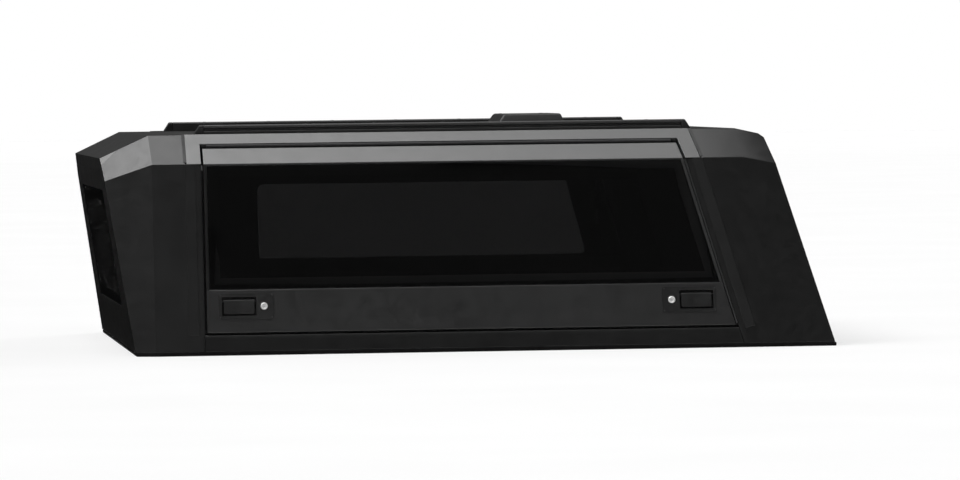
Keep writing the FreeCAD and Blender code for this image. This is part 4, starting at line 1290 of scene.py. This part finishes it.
@dataclass
class Hinges:
    """The long hinges of the three doors, with a rubber block in the slot beyond each end."""

    drop: float = 0.0105
    depth: float = 0.0205
    corner: float = 0.002
    bevel: float = 0.001
    behind: float = 0.0015
    play: float = 0.0013

    def blocks(self, spans: Points, place: Matrix) -> Shape:
        """Rubber blocks along a hinge.

        Args:
            spans: where each starts and ends along the hinge.
            place: the slot's upper outer edge, with x along the hinge and y inwards.

        Returns:
            The blocks.
        """
        shape = bmesh.new()
        for start, end in spans:
            block = plate(end - start, self.depth, self.drop, self.corner, self.bevel)
            at = Matrix.Translation(((start + end) / 2, self.depth / 2, -self.drop))
            add_part(shape, placed(block, place @ at))
        return shape

    def end_blocks(self) -> None:
        """The blocks of the three hinges, hung from the headers' lower edges."""
        axis = Vector(JOINTS["left_door"]["pos_m"])
        low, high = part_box("left_door_hinge_leaf")
        top = axis.z + SHELL.gap
        place = Matrix.Translation((0, axis.y + self.behind, top))
        spans = [(SHELL.door_front - SHELL.gap, low.x - self.play),
                 (high.x + self.play, SHELL.door_rear(top) + SHELL.gap)]
        for side in Side:
            piece(side.own("hinge_end_blocks"), handed(self.blocks(spans, place), side), RUBBER, "shell")
        axis = Vector(JOINTS["rear_door"]["pos_m"])
        low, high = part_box("rear_door_hinge_leaf")
        top = axis.z + SHELL.gap
        place = Matrix.Translation((axis.x - self.behind, 0, top)) @ Matrix.Rotation(math.pi / 2, 4, "Z")
        edge = SHELL.tail_half(top) + SHELL.gap
        spans = [(-edge, low.y - self.play), (high.y + self.play, edge)]
        piece("rear_hinge_end_blocks", self.blocks(spans, place), RUBBER, "shell")

    def build(self) -> None:
        """Coat the leaves and add the blocks."""
        coat("fixed_hinge_leaves", HINGE)
        for door in DOORS:
            coat(f"{door}_door_hinge_leaf", HINGE)
        self.end_blocks()


@dataclass
class Struts:
    """The gas struts of the three doors, with the crimped glands at their tubes' ends."""

    tube_radius: float = 0.008
    tube_end: float = 0.042
    span: dict[str, float] = field(
        default_factory=lambda: {"left": 0.2056, "right": 0.2056, "rear": 0.2016})

    def gland(self) -> Shape:
        """The crimped end of a tube, from its groove to its lip round the rod.

        Returns:
            The gland, turned about z.
        """
        return turned([
            (0.0079, -0.0150), (0.0083, -0.0146), (0.0083, -0.0128), (0.0076, -0.0118), (0.0083, -0.0108),
            (0.0083, -0.0012), (0.0074, 0.0004), (0.0060, 0.0010), (0.0045, 0.0010), (0.0043, 0.0002)], 20)

    def glands(self, door: str) -> None:
        """The glands on a door's two tubes.

        Args:
            door: the door's word.
        """
        aim = Vector(JOINTS[f"{door}_strut_slide"]["axis"]).normalized()
        end = Vector(JOINTS[f"{door}_strut_swing"]["pos_m"]) + aim * (self.span[door] - self.tube_end)
        low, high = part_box(f"{door}_strut_tubes")
        axis = 1 if door == "rear" else 0
        shape = bmesh.new()
        for across in (low[axis] + self.tube_radius, high[axis] - self.tube_radius):
            end[axis] = across
            turn = aim.to_track_quat("Z", "X").to_matrix().to_4x4()
            add_part(shape, placed(self.gland(), Matrix.Translation(end) @ turn))
        piece(f"{door}_strut_glands", shape, TUBE, f"{door}_strut_tubes")

    def build(self) -> None:
        """Coat tubes, rods, studs and brackets, and add the glands."""
        for door in DOORS:
            coat(f"{door}_strut_tubes", TUBE)
            coat(f"{door}_strut_rods", ROD)
            coat(f"{door}_strut_studs", HINGE)
            self.glands(door)
        coat("strut_brackets", HINGE)


@dataclass
class Roof:
    """Roof rails with their end caps, pads and screws, and the roof vent with its grille."""

    rail_edge: float = 0.003
    cap_edge: float = 0.004
    vent_edge: float = 0.006
    pad_depth: float = 0.0014
    pad_lap: float = 0.0018
    pad_end: float = 0.025
    screw_pitch: float = 0.19
    vent_inset: float = 0.010
    vent_screw: Pair = (0.036, 0.034)
    gasket_inset: float = 0.006
    gasket_depth: float = 0.0025
    fin: Pair = (0.0022, 0.0030)
    fin_rise: float = 0.011
    fin_pitch: float = 0.012
    fin_end: float = 0.008
    fin_out: float = 0.0012

    def screw(self) -> Shape:
        """A countersunk screw's flush head with its socket.

        Returns:
            The head, turned about z.
        """
        return turned([
            (0.0, 0.0001), (0.0018, 0.0001), (0.0020, 0.0005), (0.0040, 0.0005), (0.0044, 0.0003),
            (0.0046, 0.0)], 18)

    def screws(self, name: str, places: Points, height: float) -> None:
        """Screws in a level face.

        Args:
            name: the piece's name.
            places: x and y of each.
            height: the face's height.
        """
        shape = bmesh.new()
        for x, y in places:
            add_part(shape, placed(self.screw(), Matrix.Translation((x, y, height))))
        piece(name, shape, SCREW, "shell")

    def rails(self) -> None:
        """Dress the rails and set them on pads, with screws along their tops."""
        dress("rail_end_caps", CAP, self.cap_edge, 3)
        for side in Side:
            low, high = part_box(side.own("roof_rail"))
            dress(side.own("roof_rail"), RAIL_COAT, self.rail_edge, 3)
            middle, size = (low + high) / 2, high - low
            pad = plate(size.x + 2 * self.pad_end, size.y + 2 * self.pad_lap, self.pad_depth, 0.004, 0.0004)
            pad = placed(pad, Matrix.Translation((middle.x, middle.y, SHELL.roof)))
            piece(side.own("rail_pad"), pad, RUBBER, "shell")
            count = round(size.x / self.screw_pitch)
            places = [(low.x + (index + 0.5) * size.x / count, middle.y) for index in range(count)]
            self.screws(side.own("rail_screws"), places, high.z)

    def fins(self, middle: Vector, half: Vector) -> Shape:
        """The grille's upright fins along the vent's four sides.

        Args:
            middle: the vent's middle.
            half: half its size.

        Returns:
            The fins.
        """
        shape = bmesh.new()
        for axis in (0, 1):
            run, reach = half[axis] - self.vent_inset, half[1 - axis] - self.vent_inset + self.fin_out
            count = int(2 * (run - self.fin_end) / self.fin_pitch)
            size = self.fin if axis == 0 else self.fin[::-1]
            for index, across in product(range(count + 1), (-reach, reach)):
                along = (index - count / 2) * self.fin_pitch
                x, y = (along, across) if axis == 0 else (across, along)
                at = Matrix.Translation((middle.x + x, middle.y + y, SHELL.roof + self.gasket_depth))
                add_part(shape, placed(plate(*size, self.fin_rise, 0.0004, 0.0003), at))
        return shape

    def vent(self) -> None:
        """Dress the vent and add its gasket, grille fins and screws."""
        low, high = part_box("roof_vent")
        dress("roof_vent", CAP, self.vent_edge, 3)
        middle, half = (low + high) / 2, (high - low) / 2
        length, width = (2 * (reach - self.gasket_inset) for reach in half.xy)
        gasket = plate(length, width, self.gasket_depth, 0.008, 0.0008)
        gasket = placed(gasket, Matrix.Translation((middle.x, middle.y, SHELL.roof)))
        piece("vent_gasket", gasket, RUBBER, "shell")
        piece("vent_grille", self.fins(middle, half), CAP, "shell")
        x, y = half.x - self.vent_screw[0], half.y - self.vent_screw[1]
        places = [(middle.x + along, middle.y + across) for across, along in product((-y, y), (-x, x))]
        self.screws("vent_screws", places, high.z)

    def build(self) -> None:
        """Dress what stands on the roof."""
        self.rails()
        self.vent()


# Studio


@dataclass
class Studio:
    """Camera, lamps, floor and world, and what only reflections see: a dark card and two black flags."""

    eye: Triple = (-1.790, -17.5, 0.702)
    aim: Triple = (0.02, -0.85, 0.285)
    roll: float = 0.69
    lens: float = 246.0
    sensor: float = 36.0
    sight: float = 200.0
    white: float = 1.0
    fill: float = 0.22
    floor_size: float = 60.0
    floor_glow: float = 0.55
    card_radius: float = 40.0
    card_height: float = 44.5
    card_light: Pair = (0.004, 0.06)
    card_fade: Pair = (2.0, 7.0)

    def camera(self) -> None:
        """The photograph's place and direction, with a longer lens."""
        data = bpy.data.cameras.new("camera")
        data.lens = self.lens
        data.sensor_width = self.sensor
        data.clip_end = self.sight
        made = stand("camera", data)
        look = Vector(self.aim) - Vector(self.eye)
        turn = look.to_track_quat("-Z", "Y").to_matrix().to_4x4()
        made.matrix_world = (
            Matrix.Translation(self.eye) @ turn @ Matrix.Rotation(math.radians(-self.roll), 4, "Z"))
        bpy.context.scene.camera = made

    def lamp(self, name: str, towards: Triple, strength: float, angle: float) -> None:
        """A wide, even lamp far away.

        Args:
            name: the lamp's name.
            towards: the way its light travels.
            strength: its light on a surface that faces it.
            angle: how wide it looks, in degrees.
        """
        data = bpy.data.lights.new(name, "SUN")
        data.energy = strength
        data.angle = math.radians(angle)
        turn = Vector(towards).to_track_quat("-Z", "Y")
        stand(name, data).matrix_world = turn.to_matrix().to_4x4()

    def world(self) -> None:
        """White where camera, glossy and transmission rays see it, and a dim even fill for the rest."""
        world = bpy.data.worlds.new("studio")
        world.use_nodes = True
        tree = world.node_tree
        tree.nodes.clear()
        path = tree.nodes.new("ShaderNodeLightPath")
        seen = path.outputs["Is Camera Ray"]
        for ray in ("Is Glossy Ray", "Is Transmission Ray"):
            either = tree.nodes.new("ShaderNodeMath")
            either.operation = "MAXIMUM"
            tree.links.new(seen, either.inputs[0])
            tree.links.new(path.outputs[ray], either.inputs[1])
            seen = either.outputs[0]
        level = tree.nodes.new("ShaderNodeMapRange")
        level.inputs["To Min"].default_value = self.fill
        level.inputs["To Max"].default_value = self.white
        tree.links.new(seen, level.inputs["Value"])
        light = tree.nodes.new("ShaderNodeBackground")
        light.inputs["Color"].default_value = (1, 1, 1, 1)
        tree.links.new(level.outputs["Result"], light.inputs["Strength"])
        output = tree.nodes.new("ShaderNodeOutputWorld")
        tree.links.new(light.outputs["Background"], output.inputs["Surface"])
        bpy.context.scene.world = world

    def prop(self, name: str, shape: Shape, recipe: Recipe, hidden: bool = True) -> None:
        """Put a mesh in the studio.

        Args:
            name: the object's name.
            shape: its mesh, which is freed.
            recipe: its material.
            hidden: whether only glossy rays see it.
        """
        mesh = bpy.data.meshes.new(name)
        shape.to_mesh(mesh)
        shape.free()
        mesh.materials.append(recipe.material)
        made = stand(name, mesh)
        if hidden:
            made.visible_camera = made.visible_diffuse = False
            made.visible_transmission = made.visible_shadow = False

    def floor(self) -> None:
        """A large pale floor that keeps the shadow."""
        shape = bmesh.new()
        bmesh.ops.create_grid(shape, x_segments=1, y_segments=1, size=self.floor_size)
        r = Recipe("pale floor")
        r.join(r.grey(r.noise(1.3, 2), 0.8, 0.83), r.shader.inputs["Base Color"])
        r.set(Roughness=0.9, Specular_IOR_Level=0.1)
        glow = r.add("ShaderNodeEmission")
        path = r.add("ShaderNodeLightPath")
        share = r.add("ShaderNodeMath", operation="MULTIPLY")
        share.inputs[1].default_value = self.floor_glow
        r.join(path.outputs["Is Camera Ray"], share.inputs[0])
        mix = r.add("ShaderNodeMixShader")
        r.join(share.outputs[0], mix.inputs[0])
        r.join(r.shader.outputs["BSDF"], mix.inputs[1])
        r.join(glow.outputs["Emission"], mix.inputs[2])
        r.join(mix.outputs[0], r.output.inputs["Surface"])
        self.prop("floor", shape, r, hidden=False)

    def card(self) -> None:
        """A ring of dark card round the studio, darker at its foot."""
        shape = bmesh.new()
        bmesh.ops.create_cone(
            shape, cap_ends=False, segments=48, radius1=self.card_radius, radius2=self.card_radius,
            depth=self.card_height, matrix=Matrix.Translation((0, 0, self.card_height / 2)))
        r = Recipe("dark card")
        axes = r.add("ShaderNodeSeparateXYZ")
        r.join(r.place, axes.inputs["Vector"])
        light = r.add("ShaderNodeEmission")
        light.inputs["Color"].default_value = (1, 1, 1, 1)
        r.join(r.spread(axes.outputs["Z"], *self.card_light, *self.card_fade), light.inputs["Strength"])
        r.join(light.outputs["Emission"], r.output.inputs["Surface"])
        self.prop("dark_card", shape, r)

    def flag(self, name: str, middle: Triple, size: Pair) -> None:
        """A level black flag.

        Args:
            name: the object's name.
            middle: the flag's middle.
            size: its length and width.
        """
        shape = bmesh.new()
        place = Matrix.Translation(middle) @ Matrix.Diagonal((*size, 1, 1))
        bmesh.ops.create_grid(shape, x_segments=1, y_segments=1, size=0.5, matrix=place)
        r = Recipe("black flag")
        r.join(r.grey(r.noise(3, 2), 0.002, 0.003), r.shader.inputs["Base Color"])
        r.set(Roughness=1.0, Specular_IOR_Level=0.0)
        self.prop(name, shape, r)

    def build(self) -> None:
        """Set up the whole studio."""
        self.camera()
        self.lamp("overhead lamp", towards=(0.36, 0.03, -1), strength=2.6, angle=50)
        self.lamp("front lamp", towards=(0.60, 0.28, -0.75), strength=0.6, angle=24)
        self.lamp("back lamp", towards=(-0.6, -0.7, -0.6), strength=0.5, angle=20)
        self.world()
        self.floor()
        self.card()
        self.flag("floor_flag", middle=(-4.866, 18.0, 0.002), size=(8.0, 44.0))
        self.flag("rear_flag", middle=(25.2, 0.0, 40.0), size=(30.0, 78.0))
        bpy.context.scene.view_settings.view_transform = "Standard"


def main() -> None:
    """Build everything in order and note the sizes."""
    logging.basicConfig(level=logging.INFO, format="%(name)s: %(message)s")
    doors = SideDoor(Side.LEFT), SideDoor(Side.RIGHT), RearDoor()
    for assembly in (Studio(), Shell(), *doors, DoorSeals(), Latches(), Hinges(), Struts(), Roof()):
        assembly.build()
        log.info("built %s", assembly)


if __name__ == "__main__":
    main()
